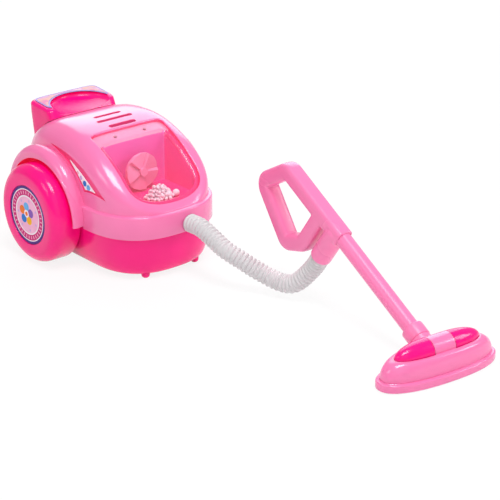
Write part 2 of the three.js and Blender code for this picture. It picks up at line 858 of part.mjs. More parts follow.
function wheelProfile() {
  const boreRadius = axleRadius + pinGap;
  const shoulder = Array.from({ length: wheelShoulderSteps }, (_, i) => {
    const angle = ((i + 1) / wheelShoulderSteps) * (Math.PI / 2);
    const radius = wheelRadius - wheelShoulder * (1 - Math.cos(angle));
    return [radius, wheelWidth - wheelShoulder * (1 - Math.sin(angle))];
  });
  return [
    [boreRadius, wheelWall / 2],
    [hubRadius, wheelWall / 2],
    [hubRadius, webBack],
    [wheelRadius - wheelWall - wheelShoulder / 2, webBack],
    [wheelRadius - wheelWall, webBack - wheelShoulder],
    [wheelRadius - wheelWall, 0],
    [wheelRadius - wheelWall / 2, 0],
    [wheelRadius, wheelWall],
    [wheelRadius, wheelWidth - wheelShoulder],
    ...shoulder,
    [hubDiscRadius + seatGap, wheelWidth],
    [hubDiscRadius + seatGap, faceRecess],
    [nutRadius + runGap, faceRecess],
    [nutRadius + runGap, faceRecess - nutPocket],
    [boreRadius, faceRecess - nutPocket],
  ];
}

function ringProfile(inner, outer, low, high) {
  return [[inner, low], [outer, low], [outer, high], [inner, high]];
}

for (const [side, hand] of [[-1, 'left'], [1, 'right']]) {
  const group = new THREE.Group();
  group.position.set(side * wheelInnerX, axleY, wheelRadius);
  group.rotation.z = -side * (Math.PI / 2);
  vacuum.add(group);
  place(`wheel_${hand}`, turned(wheelProfile()), 'hotPink', group);
  const nutFloor = faceRecess - nutPocket + seatGap;
  const nut = ringProfile(axleRadius + pinGap / 2, nutRadius, nutFloor, nutFloor + nutThickness);
  place(`push_nut_${hand}`, turned(nut, smallSides), 'steel', group);
  const discSize = [hubDiscRadius, hubDiscRadius, hubDiscThickness];
  const disc = new THREE.CylinderGeometry(...discSize, roundSides);
  disc.translate(0, faceRecess + seatGap + hubDiscThickness / 2, 0);
  place(`hub_disc_${hand}`, disc, 'label', group);
}
const axleHalf = wheelInnerX + faceRecess - seatGap;
placeSolid('axle', axleRod(-axleHalf, axleHalf, axleRadius, smallSides), 'steel');

// Motor behind the chamber, its fan on a long shaft in front of the chamber wall

const motorFrontY = chamberBackY + chamberWall + seatGap;
const motorRearY = motorFrontY + motorLength;
const fanBackY = chamberBackY - fanStandoff - 2 * runGap;

placeSolid('motor', cut(
  join(
    fanRod(motorFrontY, motorRearY, motorRadius, roundSides),
    fanRod(chamberBackY + seatGap, motorFrontY + seatGap, motorNoseRadius),
    fanRod(motorRearY - seatGap, motorRearY + motorNoseRadius / 2, motorNoseRadius),
  ),
  fanRod(chamberBackY - overcut, motorFrontY + shaftInMotor + seatGap, shaftRadius + pinGap, tinySides),
), 'motorCan');

const shaftTipY = fanBackY - fanDepth + fanNose;
placeSolid('motor_shaft', fanRod(shaftTipY, motorFrontY + shaftInMotor, shaftRadius, tinySides), 'steel');

function fanRotor() {
  const blades = [];
  for (let i = 0; i < fanBlades; i += 1) {
    const blade = new THREE.BoxGeometry(fanRadius - fanHubRadius, fanDepth, fanBladeThickness);
    blade.translate((fanRadius + fanHubRadius) / 2 - fanBladeRoot, 0, 0);
    blade.rotateY((i / fanBlades) * 2 * Math.PI);
    blades.push(solidOf(blade.translate(0, fanBackY - fanDepth / 2, fanZ)));
  }
  return cut(
    join(
      fanRod(fanBackY - fanDepth / 3, fanBackY, fanRadius, roundSides),
      fanRod(fanBackY - fanDepth, fanBackY, fanHubRadius),
      ...blades,
    ),
    fanRod(shaftTipY - seatGap, fanBackY + overcut, shaftRadius + pinGap, tinySides),
  );
}
placeSolid('fan_rotor', fanRotor(), 'lightPink');

const cradleFootZ = boxRoofZ + boxWall + seatGap;

function motorCradle() {
  const half = motorRadius + seatGap + cradleWall;
  const inHalf = half - cradleWall;
  const y0 = motorFrontY + (motorLength - cradleLength) / 2;
  const y1 = y0 + cradleLength;
  return cut(
    box(-half, half, y0, y1, cradleFootZ, fanZ),
    box(-inHalf, inHalf, y0 - overcut, y1 + overcut, cradleFootZ + cradleWall, fanZ - half),
    fanRod(y0 - overcut, y1 + overcut, motorRadius + seatGap, roundSides),
  );
}
placeSolid('motor_cradle', motorCradle(), 'lightPink');

// Cells, their springs and contacts

const contactX = boxInHalfX - seatGap - contactThickness;

function cell(hand) {
  const body = [
    [0, 0],
    [cellRadius, 0],
    [cellRadius, cellLength - cellNub],
    [cellNubRadius, cellLength - cellNub],
    [cellNubRadius, cellLength],
    [0, cellLength],
  ];
  const geometry = turned(body, smallSides).rotateZ(hand * (-Math.PI / 2));
  return geometry.translate(hand * (contactX - seatGap - cellLength), 0, 0);
}

for (const [hand, name] of [[-1, '1'], [1, '2']]) {
  const y = boxY + hand * cellOffsetY;
  place(`battery_cell_${name}`, cell(hand), 'cell').position.set(0, y, cellZ);
  const spring = new THREE.CylinderGeometry(springRadius, springRadius, springLength, smallSides);
  const springX = -hand * (contactX - seatGap - springLength / 2);
  place(`cell_spring_${name}`, spring.rotateZ(Math.PI / 2), 'steel').position.set(springX, y, cellZ);
  placeSolid(`contact_${name}`, box(
    -contactX - contactThickness, -contactX, y - contactHalfWidth, y + contactHalfWidth,
    cellZ - contactHalfWidth, cellZ + contactHalfWidth,
  ), 'steel');
}
placeSolid('contact_bridge', box(
  contactX, contactX + contactThickness,
  boxY - cellOffsetY - contactHalfWidth, boxY + cellOffsetY + contactHalfWidth,
  cellZ - contactHalfWidth, cellZ + contactHalfWidth,
), 'steel');

// Power switch: a knob in a slot of the hull, under a small housing

const flangeHalfX = (knobLength + switchTravel) / 2 + knobFlangeMargin;
const flangeHalfY = knobWidth / 2 + knobFlangeMargin;
const flangeTopZ = hullFloorZ + runGap + knobFlange;
const knobX = -switchTravel / 2;

placeSolid('switch_knob', join(
  box(
    knobX - knobLength / 2, knobX + knobLength / 2, switchY - knobWidth / 2, switchY + knobWidth / 2,
    hullBottomZ - knobProud, flangeTopZ,
  ),
  box(
    knobX - flangeHalfX, knobX + flangeHalfX, switchY - flangeHalfY, switchY + flangeHalfY,
    hullFloorZ + runGap, flangeTopZ,
  ),
), 'dark');

const housingHalfX = flangeHalfX + switchTravel / 2 + runGap;
const housingHalfY = flangeHalfY + runGap;
placeSolid('switch_housing', cut(
  box(
    -housingHalfX - boxWall, housingHalfX + boxWall, switchY - housingHalfY - boxWall,
    switchY + housingHalfY + boxWall, hullFloorZ + seatGap, hullFloorZ + switchBodyHeight,
  ),
  box(
    -housingHalfX, housingHalfX, switchY - housingHalfY, switchY + housingHalfY,
    hullFloorZ - overcut, flangeTopZ + runGap,
  ),
), 'dark');

// Case screws, heads down in the hull posts

eachCaseScrew((x, y) => ({ x, y })).forEach(({ x, y }, i) => {
  const headTopZ = screwSeatZ - seatGap;
  placeSolid(`case_screw_${i + 1}`, join(
    post(x, y, headTopZ - screwHeadHeight, headTopZ, screwHeadRadius, tinySides),
    post(x, y, headTopZ - seatGap, splitZ + screwBite - seatGap, screwRadius, tinySides),
  ), 'steel');
});

// Wand tube and grip, in the wand's own frame: Y runs up the wand, Z away from the hose

const tubeBoreRadius = tubeRadius + seatGap;
const tubeFoot = collarBack + tubePlug;
const wandTube = ringProfile(tubeRadius - tubeWall, tubeRadius, -tubeFoot, tubeLength + tubePlug);
place('wand_tube', turned(wandTube, smallSides), 'lightPink', wand);

// A round bar along a path in the plane of the loop, mitred at its corners
function bar(path, radius, sides) {
  const rings = path.map((point, i) => {
    const before = Math.max(i, 1);
    const after = Math.min(i + 1, path.length - 1);
    const behind = path[before].clone().sub(path[before - 1]).normalize();
    const ahead = path[after].clone().sub(path[after - 1]).normalize();
    const along = ahead.clone().add(behind).normalize();
    const mitre = radius / along.dot(ahead);
    return Array.from({ length: sides }, (_, j) => {
      const angle = (j / sides) * 2 * Math.PI;
      const across = mitre * Math.cos(angle);
      const y = point.x - along.y * across;
      const z = point.y + along.x * across;
      return new THREE.Vector3(radius * Math.sin(angle), y, z);
    });
  });
  return loft(rings);
}

function roundedPath(corners, bend) {
  const path = [corners[0].clone()];
  for (let i = 1; i + 1 < corners.length; i += 1) {
    const corner = corners[i];
    const into = corners[i - 1].clone().sub(corner).setLength(bend).add(corner);
    const away = corners[i + 1].clone().sub(corner).setLength(bend).add(corner);
    path.push(...new THREE.QuadraticBezierCurve(into, corner, away).getPoints(gripBendSteps));
  }
  path.push(corners.at(-1).clone());
  return path;
}

function socketRod(z0, z1, radius) {
  const geometry = new THREE.CylinderGeometry(radius, radius, z1 - z0, smallSides);
  geometry.rotateX(Math.PI / 2).translate(0, 0, (z0 + z1) / 2).rotateX(socketLean);
  return solidOf(geometry.translate(0, socketAlong, 0));
}

function wandGrip() {
  const barStart = new THREE.Vector2(tubeLength, 0);
  const toeMiddle = gripToe.clone().lerp(gripToeFoot, 0.5);
  const loop = roundedPath([barStart, gripTip, gripTop, gripHeel, gripToe, toeMiddle], gripBend);
  const tubeBore = turned(ringProfile(0, tubeBoreRadius, -overcut, tubePlug + seatGap), smallSides);
  return cut(
    join(
      bar(loop, gripRadius, smallSides),
      bar([toeMiddle, gripToeFoot], gripRadius, smallSides),
      socketRod(-socketLength, 0, socketRadius),
    ),
    solidOf(tubeBore.translate(0, tubeLength, 0)),
    socketRod(-socketLength - overcut, -socketLength + hosePlug + seatGap, portRadius),
  );
}
placeSolid('wand_grip', wandGrip(), 'lightPink', wand);

// Floor nozzle: hollow dome with a ridge along its top, a neck and a collar for the tube

function nozzleRing(z, inset, endInset = inset) {
  const ring = [];
  for (let i = 0; i < planSides; i += 1) {
    const angle = (i / planSides) * 2 * Math.PI;
    const x = (nozzleHalfLength - endInset) * bent(Math.cos(angle), nozzlePower);
    const y = (nozzleHalfDepth - inset) * bent(Math.sin(angle), nozzlePower);
    ring.push(new THREE.Vector3(x, y, z));
  }
  return ring;
}

// A cylinder along the wand, placed in the frame of the nozzle
function wandRod(y0, y1, radius, endRadius = radius) {
  const geometry = new THREE.CylinderGeometry(endRadius, radius, y1 - y0, smallSides);
  geometry.translate(0, (y0 + y1) / 2, 0).rotateX(wandLean);
  return solidOf(geometry.translate(0, wandReach, wandZ));
}

function ridge(margin) {
  const radius = ridgeRadius + margin;
  const half = ridgeHalfLength + margin;
  const profile = [[0, -half]];
  for (let i = 1; i < smallSides; i += 1) {
    const share = -Math.cos((i / smallSides) * Math.PI);
    profile.push([radius * Math.sqrt(1 - Math.abs(share) ** ridgePower), share * half]);
  }
  profile.push([0, half]);
  return solidOf(turned(profile).rotateZ(-Math.PI / 2).translate(0, 0, nozzleDomeZ));
}

function overNozzle(x0, x1, z0) {
  return box(x0, x1, -farX, farX, z0, nozzleDomeZ + farX);
}

const ridgeFloorZ = nozzleDomeZ - ridgeSink;
const ridgeFar = ridgeHalfLength + overcut;
const collarFoot = -collarBack - collarLength;
const cavityInset = nozzleRimStep + nozzleDomeTaper / 2 + nozzleWall;

function nozzleShell() {
  const domeRing = (z, share) => nozzleRing(
    z, nozzleRimStep + nozzleDomeTaper * share, nozzleRimStep + nozzleEndTaper * share,
  );
  const domeMiddleZ = (nozzleRimHeight + nozzleDomeZ) / 2;
  const body = loft([
    nozzleRing(soleProud, nozzleEdge / 2),
    nozzleRing(soleProud + nozzleEdge, 0),
    nozzleRing(nozzleRimHeight - nozzleEdge, 0),
    nozzleRing(nozzleRimHeight, nozzleEdge),
    domeRing(nozzleRimHeight + skinStep, 0),
    domeRing(domeMiddleZ, 1 / 4),
    domeRing((domeMiddleZ + nozzleDomeZ) / 2, 1 / 2),
    domeRing(nozzleDomeZ, 1),
  ]);
  const middle = ridge(0).intersect(overNozzle(-ridgeMiddleHalf, ridgeMiddleHalf, ridgeFloorZ));
  const pockets = [-1, 1].map((side) => flank(side, ridgeMiddleHalf, ridgeFar, (x0, x1) =>
    ridge(seatGap).intersect(overNozzle(x0, x1, ridgeFloorZ - seatGap))));
  const cavityTopZ = ridgeFloorZ - seatGap - nozzleWall;
  const cavity = loft([nozzleRing(-overcut, cavityInset), nozzleRing(cavityTopZ, cavityInset)]);
  return cut(
    join(
      body.subtract(cavity),
      middle,
      wandRod(collarFoot - neckLength, collarFoot + collarLength / 2, neckRadius),
      wandRod(collarFoot, -collarBack - collarEdge, collarRadius),
      wandRod(-collarBack - collarEdge - skinStep, -collarBack, collarRadius, collarRadius - collarEdge),
    ),
    ...pockets,
    wandRod(-tubeFoot - seatGap, overcut, tubeBoreRadius),
  );
}
placeSolid('nozzle_shell', nozzleShell(), 'lightPink', floorTool);

for (const [side, hand] of [[-1, 'left'], [1, 'right']]) {
  const cap = flank(side, ridgeMiddleHalf + seatGap, ridgeFar, (x0, x1) =>
    ridge(0).intersect(overNozzle(x0, x1, ridgeFloorZ)));
  placeSolid(`nozzle_cap_${hand}`, cap, 'hotPink', floorTool);
}
placeSolid('nozzle_sole', loft([
  nozzleRing(0, cavityInset + seatGap),
  nozzleRing(soleThickness, cavityInset + seatGap),
]), 'lightPink', floorTool);

// Hose: out of the port, down in a slack curve, and up into the wand's socket

vacuum.updateMatrixWorld(true);
const socketAxis = new THREE.Vector3(0, -Math.sin(socketLean), Math.cos(socketLean));
const socketUp = socketAxis.clone().transformDirection(wand.matrixWorld);
const hoseStart = new THREE.Vector3(hosePortX, bandFrontY, hosePortZ);
const hoseEnd = new THREE.Vector3(0, socketAlong, 0).addScaledVector(socketAxis, -socketLength)
  .applyMatrix4(wand.matrixWorld);
const intoCase = new THREE.Vector3(0, 1, 0);
const hoseRoute = [
  hoseStart.clone().addScaledVector(intoCase, hosePlug),
  hoseStart,
  hoseStart.clone().addScaledVector(intoCase, -2 * hoseRadius),
  ...hoseSag,
  hoseEnd.clone().addScaledVector(socketUp, -2 * hoseRadius),
  hoseEnd,
  hoseEnd.clone().addScaledVector(socketUp, hosePlug),
];

function ribbedHose() {
  const curve = new THREE.CatmullRomCurve3(hoseRoute, false, 'centripetal');
  curve.arcLengthDivisions = hoseRibs * smallSides;
  const length = curve.getLength();
  const straight = hosePlug + 2 * hoseRadius;
  const neck = hosePlug + seatGap;
  const root = hoseRadius - hoseRibDepth;
  const stops = [0, hosePlug, neck, straight];
  const radii = [hosePlugRadius, hosePlugRadius, root, root];
  const pitch = (length - 2 * straight) / hoseRibs;
  for (let i = 0; i < hoseRibs; i += 1) {
    stops.push(straight + (i + 0.5) * pitch, straight + (i + 1) * pitch);
    radii.push(hoseRadius, root);
  }
  stops.push(length - neck, length - hosePlug, length);
  radii.push(root, hosePlugRadius, hosePlugRadius);
  const last = stops.length - 1;
  const plain = 3; // stops before and after the ribs
  const bore = stops.filter((_, i) => (
    i === 0 || i === last || (i >= plain && i <= last - plain && (i - plain) % (2 * hoseBoreStep) === 0)
  ));
  const across = new THREE.Vector3(1, 0, 0);
  const ringAt = (stop, radius) => {
    const share = Math.min(1, stop / length);
    const along = curve.getTangentAt(share);
    const up = new THREE.Vector3().crossVectors(across, along).normalize();
    const side = new THREE.Vector3().crossVectors(along, up);
    return Array.from({ length: hoseSides }, (_, j) => {
      const angle = (j / hoseSides) * 2 * Math.PI;
      return curve.getPointAt(share)
        .addScaledVector(side, radius * Math.cos(angle))
        .addScaledVector(up, radius * Math.sin(angle));
    });
  };
  const skin = stops.map((stop, i) => ringAt(stop, radii[i]));
  const inner = bore.map((stop) => ringAt(stop, hoseBoreRadius)).reverse();
  const rings = [...skin, ...inner];
  const index = [];
  for (let ring = 0; ring < rings.length; ring += 1) {
    for (let i = 0; i < hoseSides; i += 1) {
      const next = (ring + 1) % rings.length;
      const a = ring * hoseSides + i;
      const b = ring * hoseSides + ((i + 1) % hoseSides);
      const c = next * hoseSides + ((i + 1) % hoseSides);
      const d = next * hoseSides + i;
      index.push(a, c, b, a, d, c);
    }
  }
  const geometry = new THREE.BufferGeometry();
  const positions = rings.flat().flatMap((point) => point.toArray());
  geometry.setAttribute('position', new THREE.Float32BufferAttribute(positions, 3));
  geometry.setIndex(index);
  geometry.computeVertexNormals();
  return geometry;
}
const hose = place('hose', ribbedHose(), 'hose');

// The origin is the middle of the footprint, on the floor, with the hose left out
vacuum.updateMatrixWorld(true);
const footprint = new THREE.Box3();
vacuum.traverse((piece) => {
  if (piece.isMesh && piece !== hose) {
    footprint.expandByObject(piece, true);
  }
});
const middle = footprint.getCenter(new THREE.Vector3());
vacuum.position.set(-middle.x, -middle.y, -footprint.min.z);

export default vacuum;
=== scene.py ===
import bmesh
import bpy
import json
from math import copysign, cos, pi, radians, sin, sqrt, tan
from mathutils import Matrix, Vector


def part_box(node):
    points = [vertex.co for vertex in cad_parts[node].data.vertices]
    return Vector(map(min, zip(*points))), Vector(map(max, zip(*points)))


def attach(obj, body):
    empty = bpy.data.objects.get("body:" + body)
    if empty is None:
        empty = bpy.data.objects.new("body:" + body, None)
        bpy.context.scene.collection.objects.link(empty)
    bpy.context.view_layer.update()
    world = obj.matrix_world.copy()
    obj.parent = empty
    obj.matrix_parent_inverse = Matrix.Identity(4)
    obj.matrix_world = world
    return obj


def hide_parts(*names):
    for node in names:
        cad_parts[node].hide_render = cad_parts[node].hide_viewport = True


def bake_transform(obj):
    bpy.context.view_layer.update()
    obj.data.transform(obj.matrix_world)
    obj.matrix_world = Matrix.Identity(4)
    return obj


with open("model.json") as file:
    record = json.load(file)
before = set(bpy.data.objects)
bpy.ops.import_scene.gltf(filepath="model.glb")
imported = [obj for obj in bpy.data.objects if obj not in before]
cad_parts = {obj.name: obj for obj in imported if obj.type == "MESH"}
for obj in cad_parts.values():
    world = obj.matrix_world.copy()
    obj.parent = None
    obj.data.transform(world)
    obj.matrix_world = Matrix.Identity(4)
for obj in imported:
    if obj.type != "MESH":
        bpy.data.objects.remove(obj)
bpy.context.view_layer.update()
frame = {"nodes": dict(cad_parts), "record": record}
print("frame loaded:", len(frame["nodes"]), "nodes")

mm = 0.001

# the canister's own frame: millimetres, mid front on the floor, taken from the axle's place
wheels = dict(radius=34.4, axleY=76.0, width=20.8, innerX=45.2, shoulder=8.0, wall=2.6, bore=2.2, boss=7.0)
axleLow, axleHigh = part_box("axle")
home = (axleLow + axleHigh) / 2 - Vector((0, wheels["axleY"], wheels["radius"])) * mm
canisterPlace = Matrix.Translation(home) @ Matrix.Scale(mm, 4)

# the floor tool lies turned beside the canister, its wand leans back from it
tool = dict(x=26.0, y=-224.2, turn=-4.75, lean=27.6, reach=26.2, wandZ=21.2)
toolPlace = (
    canisterPlace
    @ Matrix.Translation((tool["x"], tool["y"], 0))
    @ Matrix.Rotation(radians(tool["turn"]), 4, "Z")
)
wandPlace = (
    toolPlace
    @ Matrix.Translation((0, tool["reach"], tool["wandZ"]))
    @ Matrix.Rotation(radians(tool["lean"]), 4, "X")
)


# camera
view = dict(lens=133.2, sensor=36.0, turn=40.2, drop=22.7, place=(-705.6, -916.1, 498.4))


def makeCamera():
    data = bpy.data.cameras.new("camera")
    data.lens = view["lens"]
    data.sensor_width = view["sensor"]
    camera = bpy.data.objects.new("camera", data)
    turn, drop = radians(view["turn"]), radians(view["drop"])
    ahead = Vector((sin(turn) * cos(drop), cos(turn) * cos(drop), -sin(drop)))
    camera.location = home + Vector(view["place"]) * mm
    camera.rotation_euler = ahead.to_track_quat("-Z", "Y").to_euler()
    bpy.context.scene.collection.objects.link(camera)
    bpy.context.scene.camera = camera


makeCamera()
print("camera ready")


# mesh helpers


def circle(count):
    return [(cos(a), sin(a)) for a in (2 * pi * i / count for i in range(count))]


def power(value, n):
    return copysign(abs(value) ** (2 / n), value)


def loftRings(rings, joinEnds=False):
    # one ring is extruded into the next, and each is then moved to its own line
    bm = bmesh.new()
    loop = bmesh.ops.create_circle(bm, segments=len(rings[0]), radius=1)["verts"]
    edges = firstEdges = bm.edges[:]
    for vert, spot in zip(loop, rings[0]):
        vert.co = spot
    if not joinEnds:
        bmesh.ops.edgeloop_fill(bm, edges=edges)
    for ring in rings[1:]:
        grown = bmesh.ops.extrude_edge_only(bm, edges=edges)["geom"]
        fresh = {item for item in grown if isinstance(item, bmesh.types.BMVert)}
        edges = [e for e in grown if isinstance(e, bmesh.types.BMEdge) and fresh.issuperset(e.verts)]
        loop = [next(e.other_vert(v) for e in v.link_edges if e.other_vert(v) in fresh) for v in loop]
        for vert, spot in zip(loop, ring):
            vert.co = spot
    if joinEnds:
        bmesh.ops.bridge_loops(bm, edges=firstEdges + edges)
    else:
        bmesh.ops.edgeloop_fill(bm, edges=edges)
    bmesh.ops.recalc_face_normals(bm, faces=bm.faces[:])
    return bm


def spinProfile(points, steps):
    # points are (radius, height) about Z; a profile that starts off the axis is closed
    bm = bmesh.new()
    line = [bm.verts.new((radius, 0, height)) for radius, height in points]
    pairs = list(zip(line, line[1:]))
    if points[0][0]:
        pairs.append((line[-1], line[0]))
    edges = [bm.edges.new(pair) for pair in pairs]
    bmesh.ops.spin(
        bm, geom=line + edges, cent=(0, 0, 0), axis=(0, 0, 1), angle=2 * pi,
        steps=steps, use_merge=True, use_duplicate=False,
    )
    bmesh.ops.remove_doubles(bm, verts=bm.verts[:], dist=0.0005)
    bmesh.ops.recalc_face_normals(bm, faces=bm.faces[:])
    return bm


def arc(centre, radii, start, end, steps):
    # points of a quarter round in a (radius, height) profile
    spots = []
    for i in range(steps + 1):
        angle = radians(start + (end - start) * i / steps)
        spots.append((centre[0] + radii[0] * cos(angle), centre[1] + radii[1] * sin(angle)))
    return spots


def turnBy(bm, matrix):
    bmesh.ops.transform(bm, matrix=matrix, verts=bm.verts[:])
    if matrix.determinant() < 0:
        bmesh.ops.reverse_faces(bm, faces=bm.faces[:])
    return bm


def rod(start, end, radius, segments=48):
    # a capped rod between two points
    start, end = Vector(start), Vector(end)
    bm = bmesh.new()
    bmesh.ops.create_cone(
        bm, cap_ends=True, segments=segments, radius1=radius, radius2=radius, depth=(end - start).length
    )
    turn = (end - start).to_track_quat("Z", "Y").to_matrix().to_4x4()
    return turnBy(bm, Matrix.Translation((start + end) / 2) @ turn)


def block(low, high):
    # a box between two corners
    low, high = Vector(low), Vector(high)
    bm = bmesh.new()
    bmesh.ops.create_cube(bm, size=1)
    return turnBy(bm, Matrix.LocRotScale((low + high) / 2, None, high - low))


def rawObject(name, bm, material=None):
    mesh = bpy.data.meshes.new(name)
    bm.to_mesh(mesh)
    bm.free()
    if material:
        mesh.materials.append(material)
    piece = bpy.data.objects.new(name, mesh)
    bpy.context.scene.collection.objects.link(piece)
    return piece


def bakeModifiers(piece):
    graph = bpy.context.evaluated_depsgraph_get()
    fresh = bpy.data.meshes.new_from_object(piece.evaluated_get(graph))
    old = piece.data
    piece.modifiers.clear()
    piece.data = fresh
    bpy.data.meshes.remove(old)


def combine(piece, other, operation):
    # new walls take the other piece's material
    step = piece.modifiers.new("combine", "BOOLEAN")
    step.solver = "EXACT"
    step.operation = operation
    step.material_mode = "TRANSFER"
    step.object = other
    bpy.context.view_layer.update()
    bakeModifiers(piece)
    bpy.data.objects.remove(other)
    return piece


def weld(piece, tiny):
    # tiny edges that a cut leaves would open holes in the next one
    bm = bmesh.new()
    bm.from_mesh(piece.data)
    bmesh.ops.remove_doubles(bm, verts=bm.verts[:], dist=tiny)
    bmesh.ops.dissolve_degenerate(bm, edges=bm.edges[:], dist=tiny)
    bm.to_mesh(piece.data)
    bm.free()
    return piece


def carve(piece, bm, material=None, operation="DIFFERENCE"):
    return combine(piece, rawObject("cutter", bm, material), operation)


def dress(piece, place, body, material, nodes=(), sharp=35):
    # into the row frame in metres, smooth with crisp creases, then onto its body
    bm = bmesh.new()
    bm.from_mesh(piece.data)
    turnBy(bm, place)
    for face in bm.faces:
        face.smooth = True
    for edge in bm.edges:
        edge.smooth = len(edge.link_faces) != 2 or edge.calc_face_angle() < radians(sharp)
    bm.to_mesh(piece.data)
    bm.free()
    if not any(piece.data.materials):
        piece.data.materials.clear()
        piece.data.materials.append(material)
    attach(piece, body)
    if nodes:
        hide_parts(*nodes)
    return piece


def makePiece(name, bm, place, body, material, nodes=(), sharp=35):
    return dress(rawObject(name, bm), place, body, material, nodes, sharp)


# materials


def newMaterial(name):
    material = bpy.data.materials.new(name)
    material.use_nodes = True
    tree = material.node_tree
    return material, tree, tree.nodes["Principled BSDF"]


def feed(node, inputs):
    # each input gets a constant, or the socket that drives it
    for key, value in inputs.items():
        if isinstance(value, bpy.types.NodeSocket):
            node.id_data.links.new(value, node.inputs[key])
        else:
            node.inputs[key].default_value = value
    return node


def addNode(tree, kind, inputs=None, **settings):
    node = tree.nodes.new(kind)
    for key, value in settings.items():
        setattr(node, key, value)
    return feed(node, inputs or {})


def maths(tree, operation, *values):
    return addNode(tree, "ShaderNodeMath", dict(enumerate(values)), operation=operation).outputs[0]


def ownPlace(tree):
    return addNode(tree, "ShaderNodeTexCoord").outputs["Object"]


def noise(tree, scale, detail=2.0):
    inputs = {"Vector": ownPlace(tree), "Scale": scale, "Detail": detail}
    return addNode(tree, "ShaderNodeTexNoise", inputs).outputs["Fac"]


def spread(tree, value, low, high):
    inputs = {"Value": value, "To Min": low, "To Max": high}
    return addNode(tree, "ShaderNodeMapRange", inputs).outputs["Result"]


def colourRamp(tree, factor, tones, low, high):
    node = addNode(tree, "ShaderNodeValToRGB", {"Fac": factor})
    stops = node.color_ramp.elements
    for i, tone in enumerate(tones):
        at = low + (high - low) * i / (len(tones) - 1)
        stop = stops.new(at) if i else stops[0]
        stop.position = at
        stop.color = (*tone, 1)
    stops.remove(stops[-1])
    return node.outputs["Color"]


def mouldedPlastic(name, colour, shade, roughness, coat=0.0, grain=900.0, bump=0.003, glow=0.0, gloss=0.5):
    # two close tones of the same resin, a faint uneven polish and a fine mould grain; glow, where set, is
    # painted light: the colour glows as emission, though the part is no lamp
    material, tree, shader = newMaterial(name)
    cloud = noise(tree, 18.0, 3.0)
    tones = colourRamp(tree, cloud, (shade, colour), 0.3, 0.7)
    inputs = {"Strength": bump, "Distance": 0.0004, "Height": noise(tree, grain)}
    relief = addNode(tree, "ShaderNodeBump", inputs)
    feed(shader, {
        "Base Color": tones, "Roughness": spread(tree, cloud, roughness - 0.04, roughness + 0.05),
        "Normal": relief.outputs["Normal"], "Emission Color": tones, "Emission Strength": glow,
        "Specular IOR Level": gloss, "Coat Weight": coat, "Coat Roughness": 0.12,
    })
    return material


def clearPlastic(name):
    material, tree, shader = newMaterial(name)
    feed(shader, {
        "Base Color": (1.0, 0.88, 0.93, 1), "Roughness": spread(tree, noise(tree, 40.0), 0.05, 0.12),
        "Alpha": 0.03, "Specular IOR Level": 0.6,
    })
    return material


def flatOffset(tree, spots, centre):
    # offset and distance from a point of the side view, in millimetres
    def vectorMaths(operation, *values):
        return addNode(tree, "ShaderNodeVectorMath", dict(enumerate(values)), operation=operation)

    away = vectorMaths("SUBTRACT", spots, home + Vector((0, *centre)) * mm)
    flat = vectorMaths("MULTIPLY", away.outputs["Vector"], (0, 1 / mm, 1 / mm)).outputs["Vector"]
    return flat, vectorMaths("LENGTH", flat).outputs["Value"]


def mixOver(tree, mask, under, over):
    inputs = {0: mask, 6: under, 7: (*ink[over], 1)}
    return addNode(tree, "ShaderNodeMix", inputs, data_type="RGBA").outputs[2]


def printedSticker(name, tones, marks, rings=None):
    # printed film: soft paper tones, rings round a centre if it has them, and round marks over them
    material, tree, shader = newMaterial(name)
    spots = ownPlace(tree)
    colour = colourRamp(tree, noise(tree, 130.0), tones, 0.32, 0.68)
    if rings:
        flat, distance = flatOffset(tree, spots, rings["centre"])

        def inBand(inner, outer):
            return maths(tree, "COMPARE", distance, (inner + outer) / 2, (outer - inner) / 2)

        for inner, outer, key in rings["bands"]:
            colour = mixOver(tree, inBand(inner, outer), colour, key)
        # pale ticks round the wide band
        inner, outer, key = rings["tickBand"]
        parts = addNode(tree, "ShaderNodeSeparateXYZ", {"Vector": flat}).outputs
        turns = maths(tree, "MULTIPLY", maths(tree, "ARCTAN2", parts["Z"], parts["Y"]), rings["ticks"])
        tick = maths(tree, "GREATER_THAN", maths(tree, "SINE", turns), 0.55)
        colour = mixOver(tree, maths(tree, "MULTIPLY", tick, inBand(inner, outer)), colour, key)
    for y, z, radius, key in marks:
        near = maths(tree, "LESS_THAN", flatOffset(tree, spots, (y, z))[1], radius)
        colour = mixOver(tree, near, colour, key)
    feed(shader, {"Base Color": colour, "Roughness": 0.5, "Specular IOR Level": 0.08})
    return material


ink = dict(
    purple=(0.1, 0.04, 0.24), rose=(0.62, 0.03, 0.2), paleRose=(0.86, 0.4, 0.56), white=(0.9, 0.8, 0.86),
    orange=(0.86, 0.2, 0.04), yellow=(0.9, 0.46, 0.03), blue=(0.04, 0.2, 0.6), sky=(0.15, 0.44, 0.8),
    violet=(0.26, 0.11, 0.46), lilac=(0.62, 0.4, 0.7),
)
flower = dict(
    paper=((0.86, 0.42, 0.62), (0.9, 0.5, 0.68)), offCentre=(1.2, 0.6), turn=20.0, reach=5.2, petal=3.1,
    petals=("orange", "sky", "violet", "yellow", "blue"), eye=((2.7, "white"), (1.6, "orange")),
    dots=7, dotReach=10.9, dot=0.9, ticks=34, tickBand=(14.9, 17.1, "paleRose"),
    bands=((13.0, 14.0, "white"), (14.0, 18.0, "rose"), (18.0, 18.7, "white"), (18.7, 21.0, "purple")),
)


def roundOf(centre, count, reach, turn=0.0):
    angles = [radians(360 / count * i + turn) for i in range(count)]
    return [(centre[0] + reach * cos(a), centre[1] + reach * sin(a)) for a in angles]


